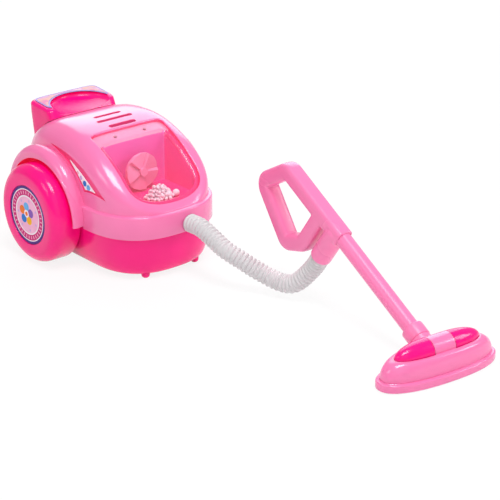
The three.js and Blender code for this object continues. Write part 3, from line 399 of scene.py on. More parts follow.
def hubPrint():
    # round petals about a pale middle, set off centre, in a ring of dots
    centre = (wheels["axleY"], wheels["radius"])
    heart = [at + off for at, off in zip(centre, flower["offCentre"])]
    petals = roundOf(heart, len(flower["petals"]), flower["reach"], flower["turn"])
    marks = [(*spot, flower["petal"], key) for spot, key in zip(petals, flower["petals"])]
    marks += [(*heart, radius, key) for radius, key in flower["eye"]]
    dots = roundOf(centre, flower["dots"], flower["dotReach"])
    marks += [(*spot, flower["dot"], "lilac") for spot in dots]
    return printedSticker("hubPrint", flower["paper"], marks, dict(flower, centre=centre))


lightPink = mouldedPlastic("lightPink", (0.92, 0.195, 0.44), (0.9, 0.18, 0.42), 0.2, coat=0.3)
palePink = mouldedPlastic("palePink", (0.93, 0.25, 0.46), (0.91, 0.225, 0.43), 0.35)
wandPink = mouldedPlastic("wandPink", (0.93, 0.205, 0.445), (0.91, 0.19, 0.425), 0.33)
gripPink = mouldedPlastic("gripPink", (0.93, 0.205, 0.445), (0.91, 0.19, 0.425), 0.26, coat=0.15)
hotPink = mouldedPlastic("hotPink", (0.98, 0.002, 0.23), (0.95, 0.001, 0.21), 0.2, coat=0.2, gloss=0.3)
# painted light: a lighter pink for the chamber's back wall, the tub's own plastic as lit where it faces the
# window
litBackPink = mouldedPlastic("litBackWallPink", (0.9, 0.075, 0.42), (0.87, 0.065, 0.39), 0.4)
tubPink = mouldedPlastic("tubPink", (0.97, 0.025, 0.27), (0.94, 0.02, 0.25), 0.25)
lipPink = mouldedPlastic("lipPink", (0.97, 0.008, 0.19), (0.94, 0.006, 0.175), 0.15, coat=0.5)
# painted shade: darker, deeper pinks for the window opening's wall, the walls of recesses, slots, port and
# socket mouth, and the wheel wells, each lifted by a painted glow
rimShadePink = mouldedPlastic("rimShadePink", (0.88, 0.03, 0.15), (0.84, 0.025, 0.14), 0.4, glow=0.25)
recessShadePink = mouldedPlastic("recessShadePink", (0.84, 0.06, 0.22), (0.8, 0.05, 0.2), 0.4, glow=0.15)
wellShadePink = mouldedPlastic("wellShadePink", (0.88, 0.01, 0.09), (0.83, 0.008, 0.08), 0.4, glow=0.22)
rivetPink = mouldedPlastic("rivetPink", (0.55, 0.17, 0.27), (0.5, 0.15, 0.24), 0.45)
# painted shade: a dark pink for the narrow gaps where the nozzle's caps meet its shell
seamShadePink = mouldedPlastic("seamShadePink", (0.5, 0.01, 0.1), (0.46, 0.008, 0.09), 0.5)
hoseWhite = mouldedPlastic("hoseWhite", (0.63, 0.615, 0.625), (0.59, 0.575, 0.587), 0.4, bump=0.02)
foamWhite = mouldedPlastic("foamWhite", (0.93, 0.66, 0.76), (0.9, 0.58, 0.7), 0.75, grain=1400.0, bump=0.2)
darkPlastic = mouldedPlastic("darkPlastic", (0.03, 0.03, 0.034), (0.024, 0.024, 0.028), 0.45)
platedSteel = mouldedPlastic("platedSteel", (0.6, 0.61, 0.63), (0.52, 0.53, 0.55), 0.3)
feed(platedSteel.node_tree.nodes["Principled BSDF"], {"Metallic": 1.0})
windowClear = clearPlastic("windowClear")
hubLabel = hubPrint()
badgeLabel = printedSticker(
    "badgePrint", ((0.86, 0.8, 0.9), (0.92, 0.88, 0.94), (0.9, 0.74, 0.84)),
    [(34.6, 60.6, 2.1, "sky"), (38.6, 62.6, 2.0, "blue"), (42.8, 65.6, 1.5, "lilac"),
     (46.6, 68.0, 1.2, "paleRose")],
)
handlePrint = printedSticker(
    "handlePrint", ((0.68, 0.22, 0.42), (0.72, 0.44, 0.36), (0.62, 0.34, 0.56), (0.74, 0.5, 0.6)), [],
)
borderPurple = mouldedPlastic("borderPurple", (0.26, 0.14, 0.5), (0.23, 0.12, 0.46), 0.35)
print("materials ready")


# hose, from the case port in a slack curve up into the wand's socket
hose = dict(
    radius=6.4, ribDepth=0.8, ribs=40, ringsPerRib=8, segments=40,
    portX=6.4, portY=-10.6, portZ=36.9, plug=4.6, plugRadius=4.9, step=0.3,
    socketAlong=81.4, socketLength=28.0, socketLean=8.5,
    sag=[
        (6.8, -35.0, 33.0), (8.2, -46.0, 28.0), (14.2, -55.6, 21.8), (20.6, -64.7, 15.6),
        (25.7, -73.2, 11.4), (29.4, -81.2, 9.6), (32.0, -89.3, 11.8),
    ],
)


def smoothRoute(points, steps):
    # a line through all the points, each span paced by the square root of its length
    spots = []
    ends = [points[0] * 2 - points[1], *points, points[-1] * 2 - points[-2]]
    for a, b, c, d in zip(ends, ends[1:], ends[2:], ends[3:]):
        before, span, after = ((q - p).length ** 0.5 for p, q in ((a, b), (b, c), (c, d)))
        leave = ((b - a) / before - (c - a) / (before + span) + (c - b) / span) * span
        arrive = ((c - b) / span - (d - b) / (span + after) + (d - c) / after) * span
        for i in range(steps):
            t = i / steps
            spots.append(
                b * (2 * t**3 - 3 * t**2 + 1) + leave * (t**3 - 2 * t**2 + t)
                + c * (3 * t**2 - 2 * t**3) + arrive * (t**3 - t**2)
            )
    return spots + [points[-1]]


def alongRoute(route, stops):
    # points and directions at given lengths along a fine line
    lengths = [0.0]
    for p, q in zip(route, route[1:]):
        lengths.append(lengths[-1] + (q - p).length)
    found, i = [], 0
    for stop in stops:
        while i + 2 < len(lengths) and lengths[i + 1] < stop:
            i += 1
        share = (stop - lengths[i]) / (lengths[i + 1] - lengths[i])
        ahead = (route[min(i + 2, len(route) - 1)] - route[max(i - 1, 0)]).normalized()
        found.append((route[i].lerp(route[i + 1], share), ahead))
    return found, lengths[-1]


def makeHose():
    port = Vector((hose["portX"], hose["portY"], hose["portZ"]))
    intoCase = Vector((0, 1, 0))
    toCanister = canisterPlace.inverted() @ wandPlace
    lean = radians(hose["socketLean"])
    axis = Vector((0, -sin(lean), cos(lean)))
    socket = toCanister @ (Vector((0, hose["socketAlong"], 0)) - axis * hose["socketLength"])
    up = (toCanister.to_3x3() @ axis).normalized()
    straight = 2 * hose["radius"]
    points = [port, port - intoCase * straight, *map(Vector, hose["sag"]), socket - up * straight, socket]
    route = smoothRoute(points, 24)
    length = alongRoute(route, [0])[1]
    # a narrower plug at each end sits in the port and in the socket
    plug, step = hose["plug"], hose["step"]
    whole = [port + intoCase * plug, *route, socket + up * plug]
    count = hose["ribs"] * hose["ringsPerRib"]
    first, last = plug + step, plug + length - step
    stops = [(0.0, hose["plugRadius"]), (plug, hose["plugRadius"])]
    for i in range(count + 1):
        wave = (1 - cos(2 * pi * i / hose["ringsPerRib"])) / 2
        radius = hose["radius"] - hose["ribDepth"] * (1 - wave**0.8)
        stops.append((first + (last - first) * i / count, radius))
    stops += [(plug + length, hose["plugRadius"]), (2 * plug + length, hose["plugRadius"])]
    rings = []
    for (spot, ahead), (_, radius) in zip(alongRoute(whole, [s for s, _ in stops])[0], stops):
        lift = Vector((1, 0, 0)).cross(ahead).normalized()
        side = ahead.cross(lift)
        rings.append([spot + (side * c + lift * s) * radius for c, s in circle(hose["segments"])])
    bm = turnBy(loftRings(rings), canisterPlace)
    for face in bm.faces:
        face.smooth = len(face.verts) == 4
    piece = rawObject("ribbedHose", bm, hoseWhite)
    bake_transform(piece)
    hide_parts("hose")
    print("hose ready:", round(length, 1), "mm")


makeHose()


# case: band, dome and the shapes cut into them, shared by the pieces of the canister
case = dict(
    halfWidth=46.2, frontY=-10.6, rearY=128.0, middleY=38.0, frontPower=2.6, rearPower=4.2,
    topZ=46.9, edge=1.4, splitZ=30.9, wall=2.0,
    ledge=2.5, domeZ=93.4, domeY=68.0, domeFrontPower=1.95, domeRearPower=2.6, crossPower=5.3,
    heart=(0, 60, 46.9), crown=0.02, skirt=12.0, around=192, rows=40, gap=0.3,
)
window = dict(
    halfWidth=29.8, topY=50.2, bottomY=-3.6, cornerY=12.0, power=2.5, cornerPower=30.0,
    recess=0.9, thickness=0.9, lip=0.8,
)


def edgeAlong(inside, far=160.0):
    # how far out along a ray a shape still holds the point
    low, high = 0.0, far
    for _ in range(36):
        middle = (low + high) / 2
        if inside(middle):
            low = middle
        else:
            high = middle
    return low


def planSide(y):
    # reach and squareness of the plan's front or rear half
    if y < case["middleY"]:
        return case["middleY"] - case["frontY"], case["frontPower"]
    return case["rearY"] - case["middleY"], case["rearPower"]


def inPlan(x, y, inset):
    reach, n = planSide(y)
    across = abs(x) / (case["halfWidth"] - inset)
    along = abs(y - case["middleY"]) / (reach - inset)
    return across**n + along**n < 1


def domeWidth(y, inset):
    reach, n = planSide(y)
    share = min(1, abs(y - case["middleY"]) / (reach - case["ledge"] - inset))
    return (case["halfWidth"] - case["ledge"] - inset) * (1 - share**n) ** (1 / n)


def domeHeight(y, inset):
    full = case["domeZ"] - inset - case["topZ"]
    if y < case["domeY"]:
        share = (case["domeY"] - y) / (case["domeY"] - case["frontY"] - case["ledge"] - inset)
        return full * max(0, 1 - share ** case["domeFrontPower"])
    share = (y - case["domeY"]) / (case["rearY"] - case["ledge"] - inset - case["domeY"])
    return full * sqrt(max(0, 1 - share ** case["domeRearPower"]))


def inDome(spot, inset):
    width, height = domeWidth(spot.y, inset), domeHeight(spot.y, inset)
    if width < 1e-6 or height < 1e-6:
        return False
    across, up = abs(spot.x) / width, max(0, spot.z - case["topZ"]) / height
    return across < 1 and up < 1 and across ** case["crossPower"] + up ** case["crossPower"] < 1


def domeZ(x, y, inset):
    share, n = min(1, abs(x) / max(domeWidth(y, inset), 1e-6)), case["crossPower"]
    return case["topZ"] + domeHeight(y, inset) * (1 - share**n) ** (1 / n)


def ontoDome(toward, inset):
    heart = Vector(case["heart"])
    aim = (toward - heart).normalized()
    return heart + aim * edgeAlong(lambda r: inDome(heart + aim * r, inset))


def inTub(x, y, half, bottomY, topY):
    # round in front and squared behind
    n, along = window["power"], (window["cornerY"] - y) / (window["cornerY"] - bottomY)
    if y >= window["cornerY"]:
        n, along = window["cornerPower"], (y - window["cornerY"]) / (topY - window["cornerY"])
    return (abs(x) / half) ** n + along**n < 1


def inWindow(x, y, margin):
    return inTub(x, y, window["halfWidth"] + margin, window["bottomY"] - margin, window["topY"] + margin)


def roundOutline(inside, centreY):
    # a flat outline seen from a point on the middle line
    spots, count = [], case["around"]
    for i in range(count):
        angle = 2 * pi * i / count - pi / 2
        c, s = cos(angle), sin(angle)
        reach = edgeAlong(lambda r: inside(r * c, centreY + r * s))
        spots.append(Vector((reach * c, centreY + reach * s, 0)))
    return spots


def planRing(inset, z):
    ring = roundOutline(lambda x, y: inPlan(x, y, inset), case["middleY"])
    return [Vector((p.x, p.y, z)) for p in ring]


def onDome(ring, inset):
    return [Vector((p.x, p.y, domeZ(p.x, p.y, inset))) for p in ring]


def windowRing(margin, inset, centreY=case["middleY"]):
    return onDome(roundOutline(lambda x, y: inWindow(x, y, margin), centreY), inset)


def domeRows(first, last, inset, rows):
    # rings that spread over the dome from one line to another
    heart = Vector(case["heart"])
    rings = []
    for row in range(1, rows):
        share = row / rows
        ring = []
        for p, q in zip(first, last):
            a, b = (p - heart).normalized(), (q - heart).normalized()
            ring.append(ontoDome(heart + a.slerp(b, share), inset))
        rings.append(ring)
    return rings


def domeSolid(inset):
    # the closed dome alone, for cuts
    base = planRing(case["ledge"] + inset, case["topZ"])
    crown, heartY = case["crown"], case["heart"][1]
    top = [Vector((p.x * crown, heartY + (p.y - heartY) * crown, case["domeZ"])) for p in base]
    skirt = [p - Vector((0, 0, case["skirt"])) for p in base]
    return loftRings([[ontoDome(p, inset) for p in top], *domeRows(top, base, inset, 24), base, skirt])


shell = dict(
    reach=54.4, footZ=33.2, archRadius=39.3, archRise=4.0, archDrop=1.1, archFlare=1.0,
    browRadius=40.0, browRise=6.7, browDrop=5.5, browFlare=3.0, browBack=2.4, browUp=5.1,
    browInset=0.03, tinyEdge=0.01, wellClearance=3.0, wellX=44.5, wellEnd=90.0, portRadius=5.2,
)
vents = dict(rows=((53.7, 11.2), (62.6, 14.7), (71.1, 11.2)), halfDepth=1.7, cutFrom=80, cutHeight=20)
badge = dict(
    recessLeaf=((80, 80), (49.2, 73.6), (39.2, 56.6), (28, 59.2), (17.6, 55.4), (40, 80)),
    leaf=((56, 74.4), (46.2, 67.4), (37.9, 58.3), (32, 59.6), (27.7, 58.7), (41, 68.3)),
    recess=1.2, thickness=0.6, cut=(22, 70),
)


def fenderDisc(side, kind, back=0.0, up=0.0, inset=0.0):
    # a thick disc that widens outwards to a rounded edge; the inset keeps its flats off the other disc's
    radius, rise = shell[kind + "Radius"], shell[kind + "Rise"]
    drop, flare, x = shell[kind + "Drop"], shell[kind + "Flare"], shell["reach"] - inset
    wallX = shell["wellX"] - case["wall"] + inset
    profile = [(0, wallX), (radius - flare, wallX)]
    profile += arc((radius - drop, x - rise), (drop, rise), 0, 90, 12) + [(0, x)]
    bm = turnBy(spinProfile(profile, 144), Matrix.Rotation(pi / 2, 4, "Y"))
    if side < 0:
        turnBy(bm, Matrix.Scale(-1, 4, (1, 0, 0)))
    turnBy(bm, Matrix.Translation((0, wheels["axleY"] + back, wheels["radius"] + up)))
    bmesh.ops.bisect_plane(
        bm, geom=bm.verts[:] + bm.edges[:] + bm.faces[:], plane_co=(0, 0, shell["footZ"] + inset),
        plane_no=(0, 0, -1), clear_outer=True,
    )
    bmesh.ops.holes_fill(bm, edges=[e for e in bm.edges if e.is_boundary])
    bmesh.ops.recalc_face_normals(bm, faces=bm.faces[:])
    return bm


def fenderMesh(side):
    # a thin arch all round the wheel and a thicker brow over its top and back, hollowed by the well, whose
    # walls get the painted well shade
    piece = rawObject("fender", fenderDisc(side, "arch"), lightPink)
    brow = fenderDisc(side, "brow", shell["browBack"], shell["browUp"], shell["browInset"])
    carve(piece, brow, lightPink, "UNION")
    carve(piece, wellRod(side), wellShadePink)
    return weld(piece, shell["tinyEdge"])


def wellRod(side, inset=0.0, margin=0.0):
    axle, x = (wheels["axleY"], wheels["radius"]), shell["wellX"] - inset
    radius = wheels["radius"] + shell["wellClearance"] + margin
    return rod((side * x, *axle), (side * shell["wellEnd"], *axle), radius, 144)


def ventSlot(y, half):
    bm = bmesh.new()
    radius = vents["halfDepth"]
    verts = bmesh.ops.create_circle(bm, cap_ends=True, segments=32, radius=radius)["verts"]
    for vert in verts:
        vert.co.x += copysign(half - radius, vert.co.x)
        vert.co += Vector((0, y, vents["cutFrom"]))
    grown = bmesh.ops.extrude_face_region(bm, geom=bm.faces[:])["geom"]
    grown = [v for v in grown if isinstance(v, bmesh.types.BMVert)]
    bmesh.ops.translate(bm, vec=(0, 0, vents["cutHeight"]), verts=grown)
    bmesh.ops.recalc_face_normals(bm, faces=bm.faces[:])
    return bm


def leafOutline(points, steps=24):
    # every second point only bends the side it is on, as (y, z)
    spots = []
    count = len(points)
    for i in range(1, count, 2):
        a, b, c = (Vector(points[j % count]) for j in (i - 1, i, i + 1))
        for t in (k / steps for k in range(steps)):
            spots.append(a * (1 - t) ** 2 + b * 2 * t * (1 - t) + c * t * t)
    return spots


def leafPrism(side, points):
    # the outline carried sideways through the flank
    outline = leafOutline(points)
    return loftRings([[Vector((side * x, *p)) for p in outline] for x in badge["cut"]])


def badgeRecess(side):
    # painted shade: the recess's walls take the recess shade pink
    prism = rawObject("recess", leafPrism(side, badge["recessLeaf"]), recessShadePink)
    return carve(prism, domeSolid(badge["recess"]), recessShadePink)


def makeUpperShell():
    wall, lip, edge = case["wall"], window["lip"], case["edge"]
    topZ, splitZ = case["topZ"], case["splitZ"]
    rim = [windowRing(0, wall), windowRing(0, lip)]
    for angle in (30, 60, 90):
        a = radians(angle)
        rim.append(windowRing(lip * (1 - cos(a)), lip * (1 - sin(a))))
    foot = [p + Vector((0, 0, 0.9)) for p in planRing(case["ledge"], topZ)]
    skin = domeRows(rim[-1], foot, 0, case["rows"])
    band = [planRing(case["ledge"], topZ + 0.9), planRing(case["ledge"] - 0.25, topZ + 0.25)]
    band.append(planRing(case["ledge"] - 0.9, topZ))
    for angle in (0, 22, 45, 68, 90):
        a = radians(angle)
        band.append(planRing(edge * (1 - sin(a)), topZ - edge * (1 - cos(a))))
    band += [planRing(0, splitZ + 0.5), planRing(0.15, splitZ + 0.15), planRing(0.5, splitZ)]
    band += [planRing(wall, splitZ), planRing(wall, topZ - edge)]
    innerFoot = planRing(case["ledge"] + wall, topZ + 0.5)
    inner = list(reversed(domeRows(windowRing(1.5, wall), innerFoot, wall, 14)))
    rings = rim + skin + band + [innerFoot] + inner + [windowRing(1.5, wall)]
    piece = rawObject("upperShell", loftRings(rings, joinEnds=True), lightPink)
    # painted shade: the window opening's wall takes the dark rim pink
    piece.data.materials.append(rimShadePink)
    for face in piece.data.polygons:
        if inWindow(face.center.x, face.center.y, 0.05):
            face.material_index = 1
    for side in (-1, 1):
        combine(piece, badgeRecess(side), "DIFFERENCE")
    # painted shade: the wheel wells' walls take the well shade pink
    for side in (-1, 1):
        carve(piece, wellRod(side, wall / 2, 0.5), wellShadePink)
        combine(piece, fenderMesh(side), "UNION")
    # painted shade: the vent slots' walls and the hose port's wall take the recess shade pink
    for y, half in vents["rows"]:
        carve(piece, ventSlot(y, half), recessShadePink)
    ends = case["frontY"] - 5, case["frontY"] + 12
    port = [(hose["portX"], y, hose["portZ"]) for y in ends]
    carve(piece, rod(*port, shell["portRadius"], 64), recessShadePink)
    dress(piece, canisterPlace, "canister", lightPink, ["upper_shell"])
    print("upper shell ready:", len(piece.data.polygons), "faces")


makeUpperShell()


def makeBadges():
    low = badge["recess"] - case["gap"]
    for side, hand in ((-1, "Left"), (1, "Right")):
        piece = rawObject("sideBadge" + hand, leafPrism(side, badge["leaf"]))
        carve(piece, domeSolid(low - badge["thickness"]), operation="INTERSECT")
        carve(piece, domeSolid(low))
        dress(piece, canisterPlace, "canister", badgeLabel, ["side_badge_" + hand.lower()])
    print("side badges ready")


makeBadges()


# window and the tub behind it
chamber = dict(rim=4.0, backY=40.8, floorZ=48.5, wall=1.6, flange=1.5, reach=2.0, centreY=18.0)


def makeWindow():
    shares = (0.04, 0.2, 0.4, 0.6, 0.8, 0.93, 1.0)
    heart = Vector((0, 24, 0))
    outline = roundOutline(lambda x, y: inWindow(x, y, -case["gap"]), case["middleY"])

    def ring(share, inset):
        return onDome([heart.lerp(p, share) for p in outline], inset)

    low = window["recess"] + window["thickness"]
    rings = [ring(s, window["recess"]) for s in shares] + [ring(s, low) for s in reversed(shares)]
    bm = loftRings(rings)
    makePiece("windowLens", bm, canisterPlace, "canister", windowClear, ["window_lens"])


def inChamber(x, y, margin):
    inset = chamber["rim"] - margin
    return inTub(x, y, window["halfWidth"] - inset, window["bottomY"] + inset, chamber["backY"] + margin)


def makeChamber():
    centreY = chamber["centreY"]
    top = window["recess"] + window["thickness"] + case["gap"]
    low = top + chamber["flange"]
    floorZ, wall = chamber["floorZ"], chamber["wall"]

    def flange(margin, inset):
        return windowRing(margin, inset, centreY)

    def tub(margin, inset=None, z=0.0):
        ring = roundOutline(lambda x, y: inChamber(x, y, margin), centreY)
        return [Vector((p.x, p.y, z)) for p in ring] if inset is None else onDome(ring, inset)

    rings = [tub(-4, z=floorZ), tub(-1.2, z=floorZ), tub(-0.35, z=floorZ + 0.35), tub(0, z=floorZ + 1.2)]
    rings += [tub(0, inset=top + 2.6), tub(0.25, inset=top + 1.5), tub(0.8, inset=top + 0.6)]
    rings += [tub(1.5, inset=top + 0.15), tub(2.3, inset=top)]
    rings += [flange(chamber["reach"] - 0.3, top), flange(chamber["reach"], top + 0.3)]
    rings += [flange(chamber["reach"], low), tub(wall, inset=low), tub(wall, z=floorZ - wall)]
    piece = rawObject("dustChamber", loftRings(rings), tubPink)
    for material in (litBackPink, palePink, lipPink):
        piece.data.materials.append(material)
    for face in piece.data.polygons:
        if face.normal.z > 0.2 and not inChamber(face.center.x, face.center.y, 0.1):
            face.material_index = 3
        # painted light: back wall faces that look out through the window take the lighter back pink
        if face.normal.y < -0.7 and face.center.y > chamber["backY"] - 1 and face.center.z > floorZ:
            face.material_index = 1
        if face.normal.z > 0.3 and face.center.y > chamber["backY"] + 0.2:
            face.material_index = 2
    dress(piece, canisterPlace, "canister", hotPink, ["dust_chamber"])


# fan in front of the chamber's back wall: a disc of ramped sectors round a small hub
fan = dict(z=62.8, radius=13.0, depth=4.5, backY=34.2, sectors=5, hubRadius=2.6, plate=1.4, ramp=1.9)


def makeFan():
    def ring(radius, front):
        spots = []
        for i in range(fan["sectors"]):
            for share in (0.0, 0.3, 0.6, 0.9, 0.97):
                a = 2 * pi * (i + share) / fan["sectors"]
                lift = 0.0
                if front:
                    lift = fan["plate"] + fan["ramp"] * min(share / 0.9, (1 - share) / 0.1)
                y = fan["backY"] - lift
                spots.append(Vector((radius * cos(a), y, fan["z"] + radius * sin(a))))
        return spots

    inner, outer = fan["hubRadius"], fan["radius"]
    rings = [ring(inner, True), ring((inner + outer) / 2, True), ring(outer, True), ring(outer, False)]
    rings.append(ring(inner, False))
    piece = rawObject("fanDisc", loftRings(rings), palePink)
    hubEnds = (0, fan["backY"] - fan["depth"], fan["z"]), (0, fan["backY"] - 0.1, fan["z"])
    carve(piece, rod(*hubEnds, inner + 0.3, 40), palePink, "UNION")
    dress(piece, canisterPlace, "fan", palePink, ["fan_rotor"], sharp=12)


# loose foam beads, heaped on the chamber floor
beads = dict(
    radius=2.5, rows=2, perRow=3, pitch=6.2, rowPitch=5.8, start=(-1.0, 9.8), heap=(0.4, 14.2), spread=10.4,
    small=1.35, layers=4, layerIn=2.0, layerRise=2.2, room=2.4, turn=2.39996, squash=0.8,
)


def makeBeads():
    spots, floorZ, large = [], chamber["floorZ"] + case["gap"], beads["rows"] * beads["perRow"]
    for i in range(large):
        row, column = divmod(i, beads["perRow"])
        x = beads["start"][0] + column * beads["pitch"] - row * beads["pitch"] / 2
        y = beads["start"][1] + row * beads["rowPitch"]
        spots.append((x, y, floorZ + beads["radius"], beads["radius"]))
    for layer in range(beads["layers"]):
        reach = beads["spread"] - beads["layerIn"] * layer
        count = int(reach**2 / beads["room"])
        z = floorZ + beads["small"] + beads["layerRise"] * layer
        for i in range(count):
            away, a = reach * sqrt((i + 0.5) / count), beads["turn"] * i + layer
            x = beads["heap"][0] + away * cos(a)
            y = beads["heap"][1] + beads["squash"] * away * sin(a)
            spots.append((x, y, z, beads["small"] * (0.85 + 0.15 * cos(5 * i))))
    bm = bmesh.new()
    for x, y, z, radius in spots:
        bmesh.ops.create_icosphere(bm, subdivisions=2, radius=radius, matrix=Matrix.Translation((x, y, z)))
    nodes = ["foam_bead_%d" % (i + 1) for i in range(large)]
    makePiece("foamBeads", bm, canisterPlace, "canister", foamWhite, nodes)


makeWindow()
makeChamber()
makeFan()
makeBeads()
print("window, chamber, fan and beads ready")


# rear handle: block saddled on the dome, with a finger scoop in its front
handle = dict(
    topZ=96.9, footZ=70.0, frontY=96.0, rearY=126.0, halfWidth=28.6, footIn=1.2, waistZ=88.0, lean=3.6,
    fall=2.6, edge=2.6, power=7.0, scoop=(23.5, 21.0, 5.2), scoopIn=4.0, around=160,
    labelMargin=0.5, labelThickness=0.4, labelBorder=1.2,
)


def handleRing(z, inset, share):
    # higher up the front leans back, and the top falls towards it
    lean, run = handle["lean"] * share, handle["rearY"] - handle["frontY"]
    middle, depth = (handle["frontY"] + lean + handle["rearY"]) / 2, (run - lean) / 2 - inset
    ring = []
    for c, s in circle(handle["around"]):
        x = (handle["halfWidth"] - inset) * power(c, handle["power"])
        y = middle + depth * power(s, handle["power"])
        ring.append(Vector((x, y, z - handle["fall"] * share * (handle["rearY"] - y) / run)))
    return ring


def scoopBall(margin):
    bm = bmesh.new()
    bmesh.ops.create_uvsphere(bm, u_segments=96, v_segments=48, radius=1)
    bmesh.ops.scale(bm, vec=[r + margin for r in handle["scoop"]], verts=bm.verts[:])
    share = handle["scoopIn"] / (handle["rearY"] - handle["frontY"])
    middle = (0, handle["frontY"] + handle["scoopIn"], handle["topZ"] - handle["fall"] * (1 - share))
    bmesh.ops.translate(bm, vec=middle, verts=bm.verts[:])
    return bm


def handleSheet(low, high, inset, margin):
    # a thin sheet over the top, left open round the scoop
    rings = [handleRing(handle["topZ"] + low, inset, 1), handleRing(handle["topZ"] + high, inset, 1)]
    return carve(rawObject("sheet", loftRings(rings)), scoopBall(margin))


def makeHandle():
    topZ, edge, waist = handle["topZ"], handle["edge"], handle["waistZ"]
    rings = [handleRing(handle["footZ"], handle["footIn"], 0), handleRing(waist, 0, 0)]
    for angle in range(0, 91, 15):
        a = radians(angle)
        z = topZ - edge * (1 - sin(a))
        rings.append(handleRing(z, edge * (1 - cos(a)), (z - waist) / (topZ - waist)))
    piece = rawObject("rearHandle", loftRings(rings), hotPink)
    carve(piece, scoopBall(0), hotPink)
    carve(piece, domeSolid(-case["gap"]), hotPink)
    dress(piece, canisterPlace, "canister", hotPink, ["rear_handle"])
    low, thick, border = case["gap"], handle["labelThickness"], handle["labelBorder"]
    margin = handle["labelMargin"]
    sheet = handleSheet(low, low + thick - 0.1, edge, margin)
    sheet.name = "handleLabelBorder"
    dress(sheet, canisterPlace, "canister", borderPurple, ["handle_label"])
    sheet = handleSheet(low + 0.1, low + thick, edge + border, margin + border)
    sheet.name = "handleLabel"
    dress(sheet, canisterPlace, "canister", handlePrint, ["handle_label"])
    print("rear handle ready")


makeHandle()


# lower hull: a bowl with a battery bay, screw posts and the switch's slot
hull = dict(
    bottomZ=3.4, inset=2.0, round=6.5, steps=14, wall=2.0, floorIn=12.0,
    bay=(28.0, 14.95), bayY=58.0, bayTop=20.5, bayWall=1.6, slot=(4.4, 2.2), slotY=99.0, slotTop=6.4,
    screws=((23.0, 13.0), (29.0, 117.0)), headBore=3.1, screwBore=1.7, post=5.1, postEnd=40.0, seatZ=24.6,
)


def hullBowl(inset, topZ):
    low = hull["bottomZ"] + inset
    rings = [planRing(inset + hull["inset"] + hull["round"] + hull["floorIn"], low)]
    for i in range(hull["steps"] + 1):
        a = pi / 2 * (1 - i / hull["steps"])
        z = case["splitZ"] - (case["splitZ"] - low) * sin(a)
        rings.append(planRing(inset + hull["inset"] + hull["round"] * (1 - cos(a)), min(z, topZ)))
    return loftRings(rings)


def screwSpots():
    return [(side * x, y) for x, y in hull["screws"] for side in (-1, 1)]


def hullCavity():
    # the hollow, less what stands in it
    wall, low, bayWall = hull["wall"], hull["bottomZ"] - 1, hull["bayWall"]
    cavity = rawObject("cutter", hullBowl(wall, case["splitZ"]), hotPink)
    for side in (-1, 1):
        carve(cavity, wellRod(side, wall, wall), hotPink)
    for x, y in screwSpots():
        carve(cavity, rod((x, y, low), (x, y, hull["postEnd"]), hull["post"]), hotPink)
    x, y = hull["bay"][0] + bayWall, hull["bay"][1] + bayWall
    corners = (-x, hull["bayY"] - y, low), (x, hull["bayY"] + y, hull["bayTop"] + bayWall)
    carve(cavity, block(*corners), hotPink)
    return cavity


def makeHull():
    low = hull["bottomZ"] - 1
    piece = rawObject("lowerHull", hullBowl(0, case["splitZ"] - case["gap"]), hotPink)
    # painted shade: the wheel wells' walls take the well shade pink
    for side in (-1, 1):
        carve(piece, wellRod(side), wellShadePink)
    combine(piece, hullCavity(), "DIFFERENCE")
    for kind in ("bay", "slot"):
        (x, half), y, top = hull[kind], hull[kind + "Y"], hull[kind + "Top"]
        carve(piece, block((-x, y - half, low), (x, y + half, top)), hotPink)
    for x, y in screwSpots():
        seat = (x, y, hull["seatZ"])
        carve(piece, rod((x, y, low), seat, hull["headBore"]), hotPink)
        carve(piece, rod(seat, (x, y, hull["postEnd"]), hull["screwBore"]), hotPink)
    dress(piece, canisterPlace, "canister", hotPink, ["lower_hull"])
    print("lower hull ready")


makeHull()


# wheels and hub discs
hub = dict(radius=20.6, recess=1.3, thickness=0.5)


def makeWheels():
    radius, width, round_ = wheels["radius"], wheels["width"], wheels["shoulder"]
    bore, boss, wall = wheels["bore"], wheels["boss"], wheels["wall"]
    face, half = width - hub["recess"], wall / 2
    profile = [(bore, half), (boss, half), (boss, face - wall), (radius - round_, face - wall)]
    profile += [(radius - wall, width - round_ - 4), (radius - wall, 0.4)]
    profile += arc((radius - half, half), (half, half), 225, 360, 8)
    profile += arc((radius - round_, width - round_), (round_, round_), 0, 90, 16)
    profile += arc((hub["radius"] + case["gap"] + 0.5, width - 0.5), (0.5, 0.5), 90, 180, 4)
    profile += [(hub["radius"] + case["gap"], face), (bore, face)]
    for side, hand in ((-1, "Left"), (1, "Right")):
        stand = (
            canisterPlace
            @ Matrix.Translation((side * wheels["innerX"], wheels["axleY"], radius))
            @ Matrix.Rotation(side * pi / 2, 4, "Y")
        )
        body = hand.lower() + "_wheel"
        makePiece(
            "wheel" + hand, spinProfile(profile, 128), stand, body, hotPink,
            ["wheel_" + hand.lower()],
        )
        low = face + case["gap"]
        disc = [(0, low), (hub["radius"], low), (hub["radius"], low + hub["thickness"] - 0.15)]
        disc += [(hub["radius"] - 0.15, low + hub["thickness"]), (0, low + hub["thickness"])]
        makePiece(
            "hubDisc" + hand, spinProfile(disc, 96), stand, body, hubLabel,
            ["hub_disc_" + hand.lower()],
        )
    print("wheels ready")


makeWheels()


# wand: tube and looped grip
wand = dict(tubeRadius=5.3, tubeWall=1.2, tubeLength=74.1, plug=8.0, foot=10.8)
grip = dict(
    mouth=(6.0, 3.4), section=(5.7, 4.2), mouthEnd=84.0, blendEnd=91.0,
    tip=(138.0, 0.0), top=(154.8, -25.3), heel=(115.1, -44.0), toe=(101.6, -31.4), toeFoot=(97.0, 0.0),
    bend=5.9, bendSteps=8, segments=64, voxel=0.5, smoothing=8,
    socketRadius=7.2, socketTop=2.0, socketRound=2.6,
)


